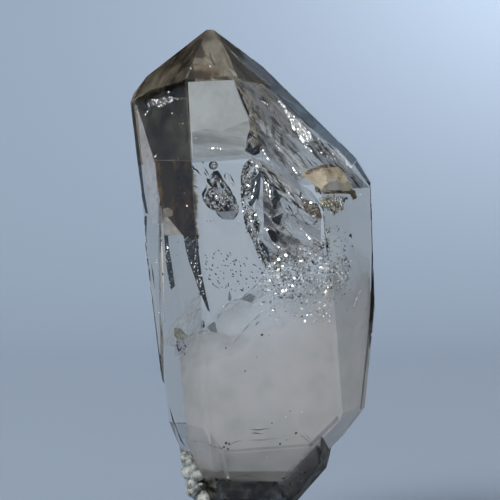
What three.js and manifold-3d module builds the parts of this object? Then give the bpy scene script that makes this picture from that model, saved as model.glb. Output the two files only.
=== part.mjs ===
// A smoky quartz scepter: one crystal whose wide head grew over the end of a narrower stem.
// Millimetres, +Z up. The origin is the middle of the flat cut at the foot of the stem, and
// -Y is the side with the broad clear prism face. The head and stem share one long axis,
// which leans a little towards -X, so the directions of all the faces are turned with it.
import * as THREE from "three";
import { ConvexGeometry } from "three/addons/geometries/ConvexGeometry.js";
import { mergeVertices } from "three/addons/utils/BufferGeometryUtils.js";
import Module from "manifold-3d";

const wasm = await Module();
wasm.setup();

const LEAN_DEG = 4.4;
const TOLERANCE = 1e-6;
const WELD_DISTANCE = 1e-4; // corners nearer than this are one
const NEARLY_PARALLEL = 1e-7;

// Slopes of the faces, from the horizontal. A negative slope faces down.
const RHOMB = 51.8; // the pointed end of quartz
const TAPER = -87.2; // a prism face that narrows towards the foot

// Corners that the faces pass through
const APEX_LEFT = [-4.72, -6.47, 56.63];
const APEX_RIGHT = [-3.72, -6.47, 56.7];
const FRONT_TOP = [-6.77, -10.7, 51.16];
const FRONT_MIDDLE = [-4.91, -9.7, 31.7];
const BACK_SHOULDER = [-3.64, 10.95, 42.9];
const LEFT_EDGE = [-12, -1.2, 40];
const RIGHT_EDGE = [13.29, -0.08, 40];

const radians = THREE.MathUtils.degToRad;
const lean = new THREE.Matrix4().makeRotationY(-radians(LEAN_DEG));

// The outward direction of a face: azimuth 0 faces -Y and turns towards +X.
function outward(azimuth, slope) {
  const flat = Math.sin(radians(Math.abs(slope)));
  return new THREE.Vector3(
    Math.sin(radians(azimuth)) * flat,
    -Math.cos(radians(azimuth)) * flat,
    Math.sign(slope) * Math.cos(radians(slope)),
  ).applyMatrix4(lean);
}

function face(azimuth, slope, point) {
  return new THREE.Plane().setFromNormalAndCoplanarPoint(
    outward(azimuth, slope),
    new THREE.Vector3(...point),
  );
}

// The same face, moved outwards
function pushed(plane, distance) {
  return new THREE.Plane(plane.normal, plane.constant - distance);
}

// Where three planes meet, or null
function meeting(a, b, c) {
  const bc = new THREE.Vector3().crossVectors(b.normal, c.normal);
  const depth = a.normal.dot(bc);
  if (Math.abs(depth) < NEARLY_PARALLEL) return null;
  const ca = new THREE.Vector3().crossVectors(c.normal, a.normal);
  const ab = new THREE.Vector3().crossVectors(a.normal, b.normal);
  return bc
    .multiplyScalar(-a.constant)
    .addScaledVector(ca, -b.constant)
    .addScaledVector(ab, -c.constant)
    .divideScalar(depth);
}

function manifoldOf(geometry) {
  const bare = geometry.index ? geometry.toNonIndexed() : geometry.clone();
  bare.deleteAttribute("normal");
  bare.deleteAttribute("uv");
  const merged = mergeVertices(bare, WELD_DISTANCE);
  return new wasm.Manifold(
    new wasm.Mesh({
      numProp: 3,
      vertProperties: merged.attributes.position.array,
      triVerts: new Uint32Array(merged.index.array),
    }),
  );
}

// The solid inside all the faces
function bounded(faces) {
  const corners = [];
  for (let i = 0; i < faces.length; i++)
    for (let j = i + 1; j < faces.length; j++)
      for (let k = j + 1; k < faces.length; k++) {
        const p = meeting(faces[i], faces[j], faces[k]);
        if (p && faces.every((f) => f.distanceToPoint(p) < TOLERANCE))
          corners.push(p);
      }
  return manifoldOf(new ConvexGeometry(corners));
}

// The solid round a few corners
function hull(corners) {
  return manifoldOf(
    new ConvexGeometry(corners.map((c) => new THREE.Vector3(...c))),
  );
}

function geometryOf(manifold) {
  const mesh = manifold.getMesh();
  const geometry = new THREE.BufferGeometry();
  geometry.setAttribute(
    "position",
    new THREE.BufferAttribute(mesh.vertProperties, 3),
  );
  geometry.setIndex(new THREE.BufferAttribute(mesh.triVerts, 1));
  return geometry;
}

// The six long faces of the head, with a seventh where the back right one bends inwards
function headPrism() {
  return [
    face(0, TAPER, FRONT_MIDDLE),
    face(-56.1, -88.9, FRONT_TOP),
    face(60, -88.6, [7.65, -10, 38.13]),
    face(-112.3, -87, LEFT_EDGE),
    face(114.6, -87, RIGHT_EDGE),
    face(120, -73, [13.4, -0.5, 25.3]),
    face(180, TAPER, BACK_SHOULDER),
  ];
}

function head() {
  const termination = [
    face(0, RHOMB, FRONT_TOP),
    face(-64, 51.5, APEX_LEFT),
    face(61.3, 58.6, APEX_RIGHT),
    face(70, 54.4, [-1.93, -6.43, 54.49]),
    face(173, 36.9, APEX_LEFT),
    face(180, RHOMB, BACK_SHOULDER),
    face(-120, RHOMB, [-10.98, -0.33, 52.6]),
    face(120, 46.6, [0.05, -2.01, 54.18]),
    face(96, 68.5, [11.76, 2.26, 42.89]),
  ];
  const underside = [
    face(0, -50, [0, -8.55, 11.4]),
    face(-60, -62, [-7.24, -2.5, 12.2]),
    face(66, -43, [8.3, -3, 11.36]),
    face(120, -46, [11.2, 1, 14.5]),
    face(180, -46, [0, 8.6, 13]),
    face(-120, -66, [-8.6, 0, 13]),
    face(0, -1, [0, 0, 7.6]),
  ];
  return bounded([...headPrism(), ...termination, ...underside]);
}

// The swollen end of the stem, just under the head. It stays inside the long faces above.
function shoulder() {
  return bounded([
    ...headPrism().map((f) => pushed(f, -0.03)),
    face(0, 5, [0, 0, 15]),
    face(0, -48, [0, -8.75, 12.62]),
    face(-60, -64, [-6.9, -3.9, 11.8]),
    face(-95, -83, [-7.3, -1, 9.5]),
    face(-84, -58, [-7.37, -1, 7.95]),
    face(80, -76, [8.64, -1, 10.71]),
    face(70, -44, [8.01, -1, 8.61]),
    face(120, -56, [7.2, 2, 9]),
    face(180, -60, [0, 6.6, 9]),
    face(-120, -60, [-6.6, 2.5, 9]),
    face(0, -1, [0, 0, 4.5]),
  ]);
}

function stem() {
  return bounded([
    face(0, 1, [0, 0, 16]),
    face(0, -88, [0, -4.95, 8.1]),
    face(-60, -88.5, [-3.2, -4.3, 5]),
    face(60, -88.5, [2.9, -4.3, 5]),
    face(120, -88.5, [4.97, -0.4, 5]),
    face(180, -88, [0, 4.9, 5]),
    face(-120, -88.5, [-5.8, -0.4, 5]),
    face(0, -1, [0, 0, -3]),
  ]);
}

// A rounded body: a ball stretched to the radii, its first radius turned along the direction
// given, and set down at the centre.
function rounded(radii, centre, along, detail) {
  const ball = new THREE.IcosahedronGeometry(1, detail);
  ball.scale(...radii);
  const turn = new THREE.Quaternion().setFromUnitVectors(
    new THREE.Vector3(1, 0, 0),
    new THREE.Vector3(...along).normalize(),
  );
  ball.applyQuaternion(turn);
  ball.translate(...centre);
  return manifoldOf(ball);
}

// Repeatable numbers from 0 to 1
function scatter(seed) {
  const value = Math.sin(seed * 127.1 + 11.7) * 43758.5453;
  return value - Math.floor(value);
}

// A rough grain with a dozen or so uneven corners
function grain(size, centre, seed) {
  const corners = [];
  for (let i = 0; i < 16; i++) {
    const height = 1 - (2 * (i + 0.5)) / 16;
    const round = Math.sqrt(1 - height * height);
    const angle = i * 2.4 + scatter(seed + i) * 1.2;
    const reach = 0.75 + 0.35 * scatter(seed * 3 + i);
    corners.push([
      centre[0] + size[0] * reach * round * Math.cos(angle),
      centre[1] + size[1] * reach * round * Math.sin(angle),
      centre[2] + size[2] * reach * height,
    ]);
  }
  return hull(corners);
}

// Two thin crystals that grew along the left edge of the head
function sideCrystals() {
  const [, frontLeft, , backLeft] = headPrism();
  const lower = bounded([
    face(-90, -89.8, [-11.6, -1.6, 32.07]),
    face(-90, 66, [-11.4, -1.6, 33.7]),
    pushed(frontLeft, 0.22),
    pushed(backLeft, 0.22),
    face(-20, -84, [-10.5, -3, 29.17]),
    face(-160, -84, [-10.4, 1.2, 29.17]),
    face(-90, -84.2, [-10.86, -1.6, 25.6]),
    face(90, 90, [-9, 0, 28]),
    face(-60, -50, [-10.2, -2.4, 19.4]),
  ]);
  const upper = bounded([
    face(-90, -89.4, [-11.5, -1.6, 35]),
    face(-90, 72, [-11.6, -1.6, 36.56]),
    pushed(frontLeft, 0.11),
    pushed(backLeft, 0.13),
    face(-12, -85, [-10.3, -3.6, 31]),
    face(-165, -86, [-10.5, 1.0, 31]),
    face(90, 90, [-9.5, 0, 33]),
    face(-60, -50, [-10.2, -2.4, 25.4]),
  ]);
  return lower.add(upper);
}

// The pale lumpy crust down the left side of the stem
function crust() {
  const grains = [
    [[1.5, 2.0, 1.6], [-6.1, -0.9, 9.9]],
    [[1.4, 1.9, 1.6], [-6.0, 1.2, 9.4]],
    [[1.6, 2.1, 1.7], [-5.95, -1.0, 8.6]],
    [[1.5, 2.0, 1.7], [-5.65, 0.9, 7.9]],
    [[1.6, 1.8, 1.5], [-5.35, -0.9, 7.1]],
    [[1.4, 1.7, 1.6], [-5.05, 0.7, 6.4]],
    [[1.3, 1.6, 1.4], [-4.85, -1.0, 5.7]],
    [[1.1, 1.5, 1.3], [-4.75, 0.3, 4.9]],
    [[0.6, 0.8, 0.7], [-8.55, -1.4, 15.6]],
  ];
  return grains
    .map(([size, centre], i) => grain(size, centre, i + 1))
    .reduce((all, one) => all.add(one));
}

// Shell-shaped hollows along the edge between the clear front face and the right-hand point
function hollows() {
  const along = [0.626, 0.04, -0.78];
  return [
    rounded([12.5, 7, 7], [6.72, -12.92, 48.51], along, 10),
    rounded([6.5, 2.6, 2.6], [4.3, -12.35, 42.9], along, 7),
    rounded([5.5, 2.6, 2.6], [4.4, -10.85, 44.7], along, 7),
    rounded([6.0, 2.6, 2.6], [4.9, -9.25, 46.4], along, 7),
  ].reduce((all, one) => all.add(one));
}

// A small chip out of the right-hand edge
function chip() {
  return hull([
    [13.9, -3, 23.3],
    [13.9, 3, 23.3],
    [13.9, -3, 21.5],
    [13.9, 3, 21.5],
    [13.1, -1.5, 22.3],
    [13.1, 1.2, 22.4],
  ]);
}

function belowTheCut() {
  return manifoldOf(new THREE.BoxGeometry(60, 60, 20).translate(0, 0, -10));
}

const body = head()
  .add(shoulder())
  .add(stem())
  .add(sideCrystals())
  .add(crust())
  .subtract(hollows())
  .subtract(chip())
  .subtract(belowTheCut());

const scepter = new THREE.Mesh(
  geometryOf(body),
  new THREE.MeshStandardMaterial({ color: 0xb8bcc0, roughness: 0.05 }),
);
scepter.name = "scepter";

const root = new THREE.Group();
root.add(scepter);
export default root;
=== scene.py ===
"""Looks for the smoky quartz scepter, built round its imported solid. Metres, +Z up, -Y is the front.

Pixels are those of a picture 500 wide, seen by the camera below. Depths in calls are in mm.
"""

import math
import random

import bmesh
import bpy
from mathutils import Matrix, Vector, noise
from mathutils.bvhtree import BVHTree
from mathutils.geometry import delaunay_2d_cdt


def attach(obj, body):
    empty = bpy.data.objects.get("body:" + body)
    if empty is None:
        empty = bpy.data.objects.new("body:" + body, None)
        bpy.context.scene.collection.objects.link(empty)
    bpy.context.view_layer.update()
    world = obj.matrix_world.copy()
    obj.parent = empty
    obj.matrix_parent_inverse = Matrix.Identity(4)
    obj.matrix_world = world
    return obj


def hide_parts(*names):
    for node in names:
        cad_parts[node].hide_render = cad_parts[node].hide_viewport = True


MM = 0.001
QUARTZ_IOR = 1.544

# The camera stands level with the head, a little above it
CAMERA_TARGET = Vector((0, 0, 32.78 * MM))
CAMERA_DISTANCE = 300 * MM
CAMERA_RISE = math.radians(2)
CAMERA_LENS = 196.36
CAMERA_SENSOR = 36
FORWARD = Vector((0, math.cos(CAMERA_RISE), -math.sin(CAMERA_RISE)))
UPWARD = Vector((0, math.sin(CAMERA_RISE), math.cos(CAMERA_RISE)))
CAMERA_PLACE = CAMERA_TARGET - FORWARD * CAMERA_DISTANCE
HALF_PICTURE = 250
PICTURE_MIDDLE = Vector((HALF_PICTURE, HALF_PICTURE))
PIXEL = 0.11

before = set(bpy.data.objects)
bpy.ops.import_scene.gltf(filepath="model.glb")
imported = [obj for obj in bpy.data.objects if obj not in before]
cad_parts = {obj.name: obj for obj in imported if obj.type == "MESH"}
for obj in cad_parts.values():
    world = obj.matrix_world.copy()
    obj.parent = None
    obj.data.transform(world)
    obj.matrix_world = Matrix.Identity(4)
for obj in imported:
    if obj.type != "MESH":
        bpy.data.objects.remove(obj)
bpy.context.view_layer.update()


def make_camera():
    camera = bpy.data.objects.new("camera", bpy.data.cameras.new("camera"))
    bpy.context.scene.collection.objects.link(camera)
    camera.location = CAMERA_PLACE
    camera.rotation_mode = "QUATERNION"
    camera.rotation_quaternion = FORWARD.to_track_quat("-Z", "Y")
    camera.data.lens = CAMERA_LENS
    camera.data.sensor_width = CAMERA_SENSOR
    camera.data.clip_start = 1 * MM
    camera.data.clip_end = 10
    bpy.context.scene.camera = camera


def sight(pixel):
    """The direction from the camera through a pixel of the picture."""
    half = CAMERA_SENSOR / (2 * CAMERA_LENS)
    across = (pixel[0] / HALF_PICTURE - 1) * half
    up = (1 - pixel[1] / HALF_PICTURE) * half
    return (FORWARD + Vector((across, 0, 0)) + UPWARD * up).normalized()


def bent(direction, normal):
    """The direction of a ray once it has entered the quartz."""
    ratio = 1 / QUARTZ_IOR
    cosine = -direction.dot(normal)
    inside = math.sqrt(1 - ratio**2 * (1 - cosine**2))
    return direction * ratio + normal * (ratio * cosine - inside)


# Materials


def new_node(material, kind, **values):
    node = material.node_tree.nodes.new(kind)
    for name, value in values.items():
        node.inputs[name].default_value = value
    return node


def shader_of(material):
    return material.node_tree.nodes["Principled BSDF"]


def link(material, output, socket):
    """Leads an output to a socket, or to the shader's socket of that name."""
    if isinstance(socket, str):
        socket = shader_of(material).inputs[socket]
    material.node_tree.links.new(output, socket)


def plain_material(name, colour, roughness, gloss=0.5):
    material = bpy.data.materials.new(name)
    material.use_nodes = True
    inputs = shader_of(material).inputs
    inputs["Specular IOR Level"].default_value = gloss
    inputs["Base Color"].default_value = (*colour, 1)
    inputs["Roughness"].default_value = roughness
    return material


def clear_material(name, ior, roughness):
    material = plain_material(name, (1, 1, 1), roughness)
    shader_of(material).inputs["Transmission Weight"].default_value = 1
    shader_of(material).inputs["IOR"].default_value = ior
    return material


def absorb(material, colour, density):
    absorption = new_node(material, "ShaderNodeVolumeAbsorption", Color=(*colour, 1), Density=density)
    link(material, absorption.outputs["Volume"], material.node_tree.nodes["Material Output"].inputs["Volume"])


def object_place(material):
    return new_node(material, "ShaderNodeTexCoord").outputs["Object"]


def noise_at(material, place, scale, detail=4, roughness=0.5):
    """Cloudy noise at a place; scale is in cells per metre."""
    cloud = new_node(material, "ShaderNodeTexNoise", Scale=scale, Detail=detail, Roughness=roughness)
    link(material, place, cloud.inputs["Vector"])
    return cloud.outputs["Fac"]


def add_colours(material, factor, stops):
    """Colours the shader by a factor, through a ramp of a few stops."""
    ramp = new_node(material, "ShaderNodeValToRGB")
    while len(ramp.color_ramp.elements) < len(stops):
        ramp.color_ramp.elements.new(0.5)
    for element, (place, colour) in zip(ramp.color_ramp.elements, stops):
        element.position = place
        element.color = (*colour, 1)
    link(material, factor, ramp.inputs["Fac"])
    link(material, ramp.outputs["Color"], "Base Color")


def add_cover(material, value, low, high, thin, solid):
    """Makes the material more or less solid, as a value goes from low to high."""
    ranged = new_node(material, "ShaderNodeMapRange")
    sockets = ("From Min", "From Max", "To Min", "To Max")
    for socket, amount in zip(sockets, (low, high, thin, solid)):
        ranged.inputs[socket].default_value = amount
    link(material, value, ranged.inputs["Value"])
    link(material, ranged.outputs["Result"], "Alpha")


def add_bump(material, height, strength, distance):
    bump = new_node(material, "ShaderNodeBump", Strength=strength, Distance=distance)
    link(material, height, bump.inputs["Height"])
    link(material, bump.outputs["Normal"], "Normal")


def clear_quartz():
    """Glossy clear quartz with a faint warm cast and slightly wavy faces."""
    material = clear_material("clear_quartz", QUARTZ_IOR, 0)
    absorb(material, (0.93, 0.78, 0.5), 17)
    add_bump(material, noise_at(material, object_place(material), 420, 5), 0.06, 0.1 * MM)
    return material


def void_glass():
    """The wall of a hollow in the quartz: its faces point into the hollow."""
    return clear_material("hollow_wall", QUARTZ_IOR, 0.02)


def smoke_and_painted_shade(name, colour, density):
    """Smoky colour in the quartz, also used for painted shade: it takes light away and bends none."""
    material = clear_material(name, 1, 0)
    absorb(material, colour, density)
    return material


# The haze fills the head below a plane that rises to the right
HAZE_RISE = 0.53
HAZE_FALL = 0.25
HAZE_LEVEL = 27.5 * MM
HAZE_FOOT = 9.5 * MM
HAZE_FADE = 2.5 * MM
HAZE_WANDER = 7 * MM
HAZE_STOPS = [(0.36, (0.82, 0.84, 0.83)), (0.48, (0.91, 0.91, 0.93)), (0.62, (0.97, 0.95, 0.97))]


def haze_material():
    """Milky quartz that thins out towards the healed crack above it."""
    material = clear_material("hazy_quartz", 1.25, 0.7)
    shader_of(material).inputs["Transmission Weight"].default_value = 0.45
    place = object_place(material)
    level = new_node(material, "ShaderNodeVectorMath")
    level.operation = "DOT_PRODUCT"
    level.inputs[1].default_value = (-HAZE_RISE, HAZE_FALL, 1)
    link(material, place, level.inputs[0])
    cloud = noise_at(material, place, 260)
    wander = new_node(material, "ShaderNodeMath")
    wander.operation = "MULTIPLY_ADD"
    wander.inputs[1].default_value = HAZE_WANDER
    link(material, cloud, wander.inputs[0])
    link(material, level.outputs["Value"], wander.inputs[2])
    add_cover(material, wander.outputs["Value"], HAZE_LEVEL + HAZE_FADE, HAZE_LEVEL - HAZE_FADE, 0, 1)
    add_colours(material, cloud, HAZE_STOPS)
    return material


# Noise mostly lies in this range, and streaks are this much longer than wide
CLOUD_RANGE = (0.4, 0.6)
STREAK = 6


def frost_and_painted_light(name, thin, solid, colour=(0.9, 0.92, 0.92), scale=900):
    """A milky veil, more or less solid from place to place; also used for painted light: glints, sheen and
    light seen through the faces.
    """
    material = plain_material(name, colour, 0.5)
    cloud = noise_at(material, object_place(material), scale, 6, 0.7)
    add_cover(material, cloud, *CLOUD_RANGE, thin, solid)
    return material


def clouds(name, solid, stops, scale):
    """A veil of smoke whose colour drifts between a few stops."""
    material = plain_material(name, (0.1, 0.1, 0.1), 0.6, 0)
    shader_of(material).inputs["Alpha"].default_value = solid
    add_colours(material, noise_at(material, object_place(material), scale, 3, 0.55), stops)
    return material


def streaky(name, colour, thin, solid, scale, turn):
    """A veil drawn out along one direction, turned by degrees from the right downwards."""
    material = plain_material(name, colour, 0.5, 0)
    way = (0, math.radians(turn), 0)
    drawn = new_node(material, "ShaderNodeMapping", Rotation=way, Scale=(STREAK, 1, 1))
    drawn.vector_type = "TEXTURE"
    link(material, object_place(material), drawn.inputs["Vector"])
    cloud = noise_at(material, drawn.outputs["Vector"], scale, 5, 0.6)
    add_cover(material, cloud, *CLOUD_RANGE, thin, solid)
    return material


def silver_flake():
    """Tiny cleavage mirrors."""
    material = plain_material("flake_mirror", (0.93, 0.94, 0.95), 0.12)
    shader_of(material).inputs["Metallic"].default_value = 1
    return material


def speckled(name, stops, scale, roughness=0.8):
    """An opaque mineral whose colour wanders between a few stops; also used for the painted shade of dark
    chips among the glitter.
    """
    material = plain_material(name, (0.5, 0.5, 0.5), roughness)
    cloud = noise_at(material, object_place(material), scale, 6, 0.65)
    add_colours(material, cloud, stops)
    add_bump(material, cloud, 0.5, 0.1 * MM)
    return material


# Stage and light

FLOOR_FRONT = -3
FLOOR_BACK = 0.29
FLOOR_HALF_WIDTH = 3
SWEEP_START = 0.3
SWEEP_RADIUS = 0.25
SWEEP_STEPS = 12
BACKDROP_HALF_WIDTH = 0.6
BACKDROP_TOP = 0.29
STAGE_COLOUR = (0.3, 0.368, 0.466)
KEY_PLACE = (-0.35, -0.5, 0.5)
# Each light's place, what it is aimed at, its side and its power
LIGHTS = {
    "back_light": ((0.11, 0.44, 0.19), (0.09, 0.56, 0.1), 0.08, 0.205),
    "left_back_light": ((-0.3, 0.2, 0.5), (-0.42, 0.56, 0.12), 0.2, 0.3),
    "key_light": (KEY_PLACE, (0, 0, 0.03), 0.3, 3.5),
}
GLOW_WAY = Vector((0.3, -0.5, 0.8)).normalized()
GLOW_STOPS = [(0.1, (0.05, 0.052, 0.055)), (0.6, (0.8, 0.82, 0.83))]
GLOW_STRENGTH = 0.93


def make_stage():
    """A pale floor that sweeps up into a pale backdrop."""
    profile = [(FLOOR_FRONT, 0, FLOOR_HALF_WIDTH), (FLOOR_BACK, 0, FLOOR_HALF_WIDTH)]
    for step in range(SWEEP_STEPS + 1):
        angle = math.pi / 2 * step / SWEEP_STEPS
        depth = SWEEP_START + SWEEP_RADIUS * math.sin(angle)
        profile.append((depth, SWEEP_RADIUS * (1 - math.cos(angle)), BACKDROP_HALF_WIDTH))
    profile.append((SWEEP_START + SWEEP_RADIUS, BACKDROP_TOP, BACKDROP_HALF_WIDTH))
    shape = bmesh.new()
    rows = [[shape.verts.new((side * width, y, z)) for side in (-1, 1)] for y, z, width in profile]
    for (a, b), (c, d) in zip(rows, rows[1:]):
        shape.faces.new((a, b, d, c))
    stage = finished("stage", shape, plain_material("pale_backdrop", STAGE_COLOUR, 0.9), True)


def make_lights():
    for name, (place, aim, side, power) in LIGHTS.items():
        light = bpy.data.objects.new(name, bpy.data.lights.new(name, "AREA"))
        light.data.size = side
        light.data.energy = power
        light.location = place
        light.rotation_mode = "QUATERNION"
        light.rotation_quaternion = (Vector(aim) - Vector(place)).to_track_quat("-Z", "Y")
        bpy.context.scene.collection.objects.link(light)


def make_world():
    """A wide soft glow above and in front, and a dim room behind, which darkens the rims of the glass."""
    world = bpy.data.worlds.new("world")
    world.use_nodes = True
    nodes, links = world.node_tree.nodes, world.node_tree.links
    way = nodes.new("ShaderNodeTexCoord")
    towards = nodes.new("ShaderNodeVectorMath")
    towards.operation = "DOT_PRODUCT"
    towards.inputs[1].default_value = GLOW_WAY
    links.new(way.outputs["Generated"], towards.inputs[0])
    ramp = nodes.new("ShaderNodeValToRGB")
    for element, (place, colour) in zip(ramp.color_ramp.elements, GLOW_STOPS):
        element.position = place
        element.color = (*colour, 1)
    links.new(towards.outputs["Value"], ramp.inputs["Fac"])
    links.new(ramp.outputs["Color"], nodes["Background"].inputs["Color"])
    nodes["Background"].inputs["Strength"].default_value = GLOW_STRENGTH
    bpy.context.scene.world = world


# Mesh helpers

SKIN = 0.015 * MM
CUT_BLOCK = 0.2


def tucked(shape):
    """Moves what reaches out of the crystal to just under its surface."""
    for vertex in shape.verts:
        place, normal, _, _ = CRYSTAL_SURFACE.find_nearest(vertex.co)
        if (vertex.co - place).dot(normal) > -SKIN:
            vertex.co = place - normal * SKIN


def finished(name, shape, material, smooth):
    """An object made from a finished mesh."""
    mesh = bpy.data.meshes.new(name)
    shape.to_mesh(mesh)
    shape.free()
    for polygon in mesh.polygons:
        polygon.use_smooth = smooth
    mesh.materials.append(material)
    thing = bpy.data.objects.new(name, mesh)
    bpy.context.scene.collection.objects.link(thing)
    return thing


def piece(name, shape, material, smooth=False, hollow=False, within=True):
    """One visible piece of the crystal, from a finished mesh. A hollow's faces point into it."""
    if within:
        tucked(shape)
    bmesh.ops.recalc_face_normals(shape, faces=shape.faces[:])
    if hollow:
        bmesh.ops.reverse_faces(shape, faces=shape.faces[:])
    thing = finished(name, shape, material, smooth)
    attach(thing, "root")
    return thing


def cut(shape, place, normal):
    """Takes away what lies beyond a plane, and closes the cut."""
    parts = shape.verts[:] + shape.edges[:] + shape.faces[:]
    result = bmesh.ops.bisect_plane(
        shape, geom=parts, plane_co=place, plane_no=normal, clear_outer=True, dist=1e-7
    )
    rim = [part for part in result["geom_cut"] if isinstance(part, bmesh.types.BMEdge)]
    if rim:
        bmesh.ops.edgeloop_fill(shape, edges=rim)


def inner_body(planes):
    """The body that a few planes enclose."""
    shape = bmesh.new()
    bmesh.ops.create_cube(shape, size=CUT_BLOCK)
    for place, normal in planes:
        cut(shape, place, normal)
    return shape


# The crystal itself

HEAD_FLOOR = 11 * MM
UNDERSIDE_FLOOR = 9 * MM
LARGE_FACE = 3 * MM * MM
SMALL_FACE = 1.2 * MM * MM
STAND_OUT = 1.5 * MM
SAME_WAY = 0.999
LONG_EDGE = 3 * MM
SHARP_EDGE = 0.2
EDGE_WEAR = 0.07 * MM


def cleaned_crystal():
    """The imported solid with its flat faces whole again."""
    shape = bmesh.new()
    shape.from_mesh(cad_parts["scepter"].data)
    bmesh.ops.remove_doubles(shape, verts=shape.verts, dist=0.0005 * MM)
    bmesh.ops.dissolve_limit(
        shape, angle_limit=math.radians(0.5), verts=shape.verts, edges=shape.edges
    )
    return shape


def head_planes(crystal):
    """The planes round the head: its large faces with nothing standing beyond them."""
    faces = []
    for polygon in sorted(crystal.faces, key=lambda face: -face.calc_area()):
        centre, normal = polygon.calc_center_median(), polygon.normal.copy()
        on_head = centre.z > HEAD_FLOOR or (centre.z > UNDERSIDE_FLOOR and normal.z < -0.5)
        if polygon.calc_area() > LARGE_FACE and on_head:
            faces.append((centre, normal))
    planes = []
    for centre, normal in faces:
        alike = any(normal.dot(other) > SAME_WAY for _, other in planes)
        beyond = any(normal.dot(other - centre) > STAND_OUT for other, _ in faces)
        if not alike and not beyond:
            planes.append((centre, normal))
    return planes


def underside_planes(crystal):
    """The planes of the head that look down towards the stem."""
    planes = []
    for polygon in crystal.faces:
        centre, normal = polygon.calc_center_median(), polygon.normal.copy()
        if polygon.calc_area() > SMALL_FACE and normal.z < -0.25 and centre.z > UNDERSIDE_FLOOR:
            planes.append((centre, normal))
    return planes


def worn(crystal):
    """The same crystal with its long edges worn a little."""
    shape = crystal.copy()
    edges = []
    for edge in shape.edges:
        smaller = min(face.calc_area() for face in edge.link_faces)
        if edge.calc_length() > LONG_EDGE and smaller > LARGE_FACE and edge.calc_face_angle() > SHARP_EDGE:
            edges.append(edge)
    bmesh.ops.bevel(shape, geom=edges, offset=EDGE_WEAR, segments=1, affect="EDGES", clamp_overlap=True)
    return shape


def make_crystal(crystal):
    crystal = piece("quartz_crystal", worn(crystal), clear_quartz(), within=False)
    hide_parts("scepter")


# Bodies placed by what the picture shows

# A sight line that misses is moved inwards, by this share of the way to the middle at a time
INWARD_TRIES = 20
INWARD_STEP = 0.01
# How far apart the noise of two seeds lies
SEED_GAP = 7.3
SHARD_SEED_GAP = 3.1
# Steps between mesh points, in pixels
STROKE_STEP = 1.5
SHARD_STEP = 2
SLIVER_STEP = 20
SHEET_STEP = 3
SHEET_ROWS = 14
SHEET_DEPTH = 0.25
SHEET_MARGIN = 0.5 * MM
SHEET_WAVE = 0.35 * MM
SHEET_CALM = 2 * MM
WAVES_PER_METRE = 350
CHIP_THICKNESS = 0.04
LEAST_VEIL = 0.3


def seen(pixel, depth, surface=None):
    """The point that shows at a pixel, so many mm into the crystal along the bent line of sight."""
    surface = surface or CRYSTAL_SURFACE
    for step in range(INWARD_TRIES):
        direction = sight(Vector(pixel).lerp(PICTURE_MIDDLE, INWARD_STEP * step))
        place, normal, _, _ = surface.ray_cast(CAMERA_PLACE, direction)
        if place is not None:
            break
    return place + bent(direction, normal) * depth * MM


def inside(pixel, outline):
    """Whether a pixel lies within a closed outline."""
    x, y = pixel
    within = False
    for (x1, y1), (x2, y2) in zip(outline, outline[1:] + outline[:1]):
        if (y1 > y) != (y2 > y) and x < x1 + (y - y1) / (y2 - y1) * (x2 - x1):
            within = not within
    return within


def extent(outline):
    """The lowest and the highest x, and then y, of an outline."""
    return [(min(values), max(values)) for values in zip(*outline)]


def resampled(line, step):
    """The same line with a point at every step."""
    points = [line[0]]
    for (x1, y1), (x2, y2) in zip(line, line[1:]):
        count = max(1, round(math.dist((x1, y1), (x2, y2)) / step))
        for index in range(1, count + 1):
            share = index / count
            points.append((x1 + (x2 - x1) * share, y1 + (y2 - y1) * share))
    return points


def ripple(pixel, size, seed=0):
    """A smooth chance value between about -1 and 1 that changes over a number of pixels."""
    return noise.noise(Vector((pixel[0] / size, pixel[1] / size, seed * SEED_GAP)))


def rippled(base, swing, size, seed, least=0):
    """A depth that billows over a number of pixels."""
    return lambda pixel: max(least, base + swing * ripple(pixel, size, seed))


def clouded(base, swing, size, seed):
    """A depth that billows, and leaves no veil too thin."""
    return rippled(base, swing, size, seed, LEAST_VEIL)


def shards(base, long, wide, turn, slope, seed):
    """A depth that breaks into tilted shards, so many pixels long and wide, turned by degrees."""
    cosine, sine = math.cos(math.radians(turn)), math.sin(math.radians(turn))

    def depth(pixel):
        along = (pixel[0] * cosine + pixel[1] * sine) / long
        across = (pixel[1] * cosine - pixel[0] * sine) / wide
        place = Vector((along, across, seed * SHARD_SEED_GAP))
        _, cells = noise.voronoi(place)
        lean = noise.cell_vector(cells[0] * 5) * 2 - Vector((1, 1, 1))
        offset = place - cells[0]
        return base + slope * PIXEL * wide * (offset.x * lean.x + offset.y * lean.y)

    return depth


def add_pane(shape, outline, near, far, step, surface=None):
    """A closed body that shows with an outline, from one depth to another.

    A depth is a number, or a function of the pixel. The step between mesh points is in pixels.
    """
    surface = surface or HEAD_SURFACE
    points = [Vector(point) for point in resampled(outline + outline[:1], step)[:-1]]
    rim = list(range(len(points)))
    (low_x, high_x), (low_y, high_y) = extent(outline)
    for row in range(1, math.ceil((high_y - low_y) / step)):
        for column in range(1, math.ceil((high_x - low_x) / step)):
            point = (low_x + (column + 0.5 * (row % 2)) * step, low_y + row * step)
            if inside(point, outline):
                points.append(Vector(point))
    flat, _, triangles, *_ = delaunay_2d_cdt(points, [], [rim], 1, 1e-4)
    front, back = [], []
    for sheet, depth in ((front, near), (back, far)):
        for point in flat:
            here = depth(point) if callable(depth) else depth
            sheet.append(shape.verts.new(seen(point, here, surface)))
    sides = {}
    for a, b, c in triangles:
        shape.faces.new((front[a], front[b], front[c]))
        shape.faces.new((back[c], back[b], back[a]))
        for edge in ((a, b), (b, c), (c, a)):
            sides[edge] = None
    for a, b in sides:
        if (b, a) not in sides:
            shape.faces.new((front[b], front[a], back[a], back[b]))


def make_veil(name, material, *panes):
    """A piece of one or more panes, each given as add_pane takes it."""
    shape = bmesh.new()
    for pane in panes:
        add_pane(shape, *pane)
    piece(name, shape, material)


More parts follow.
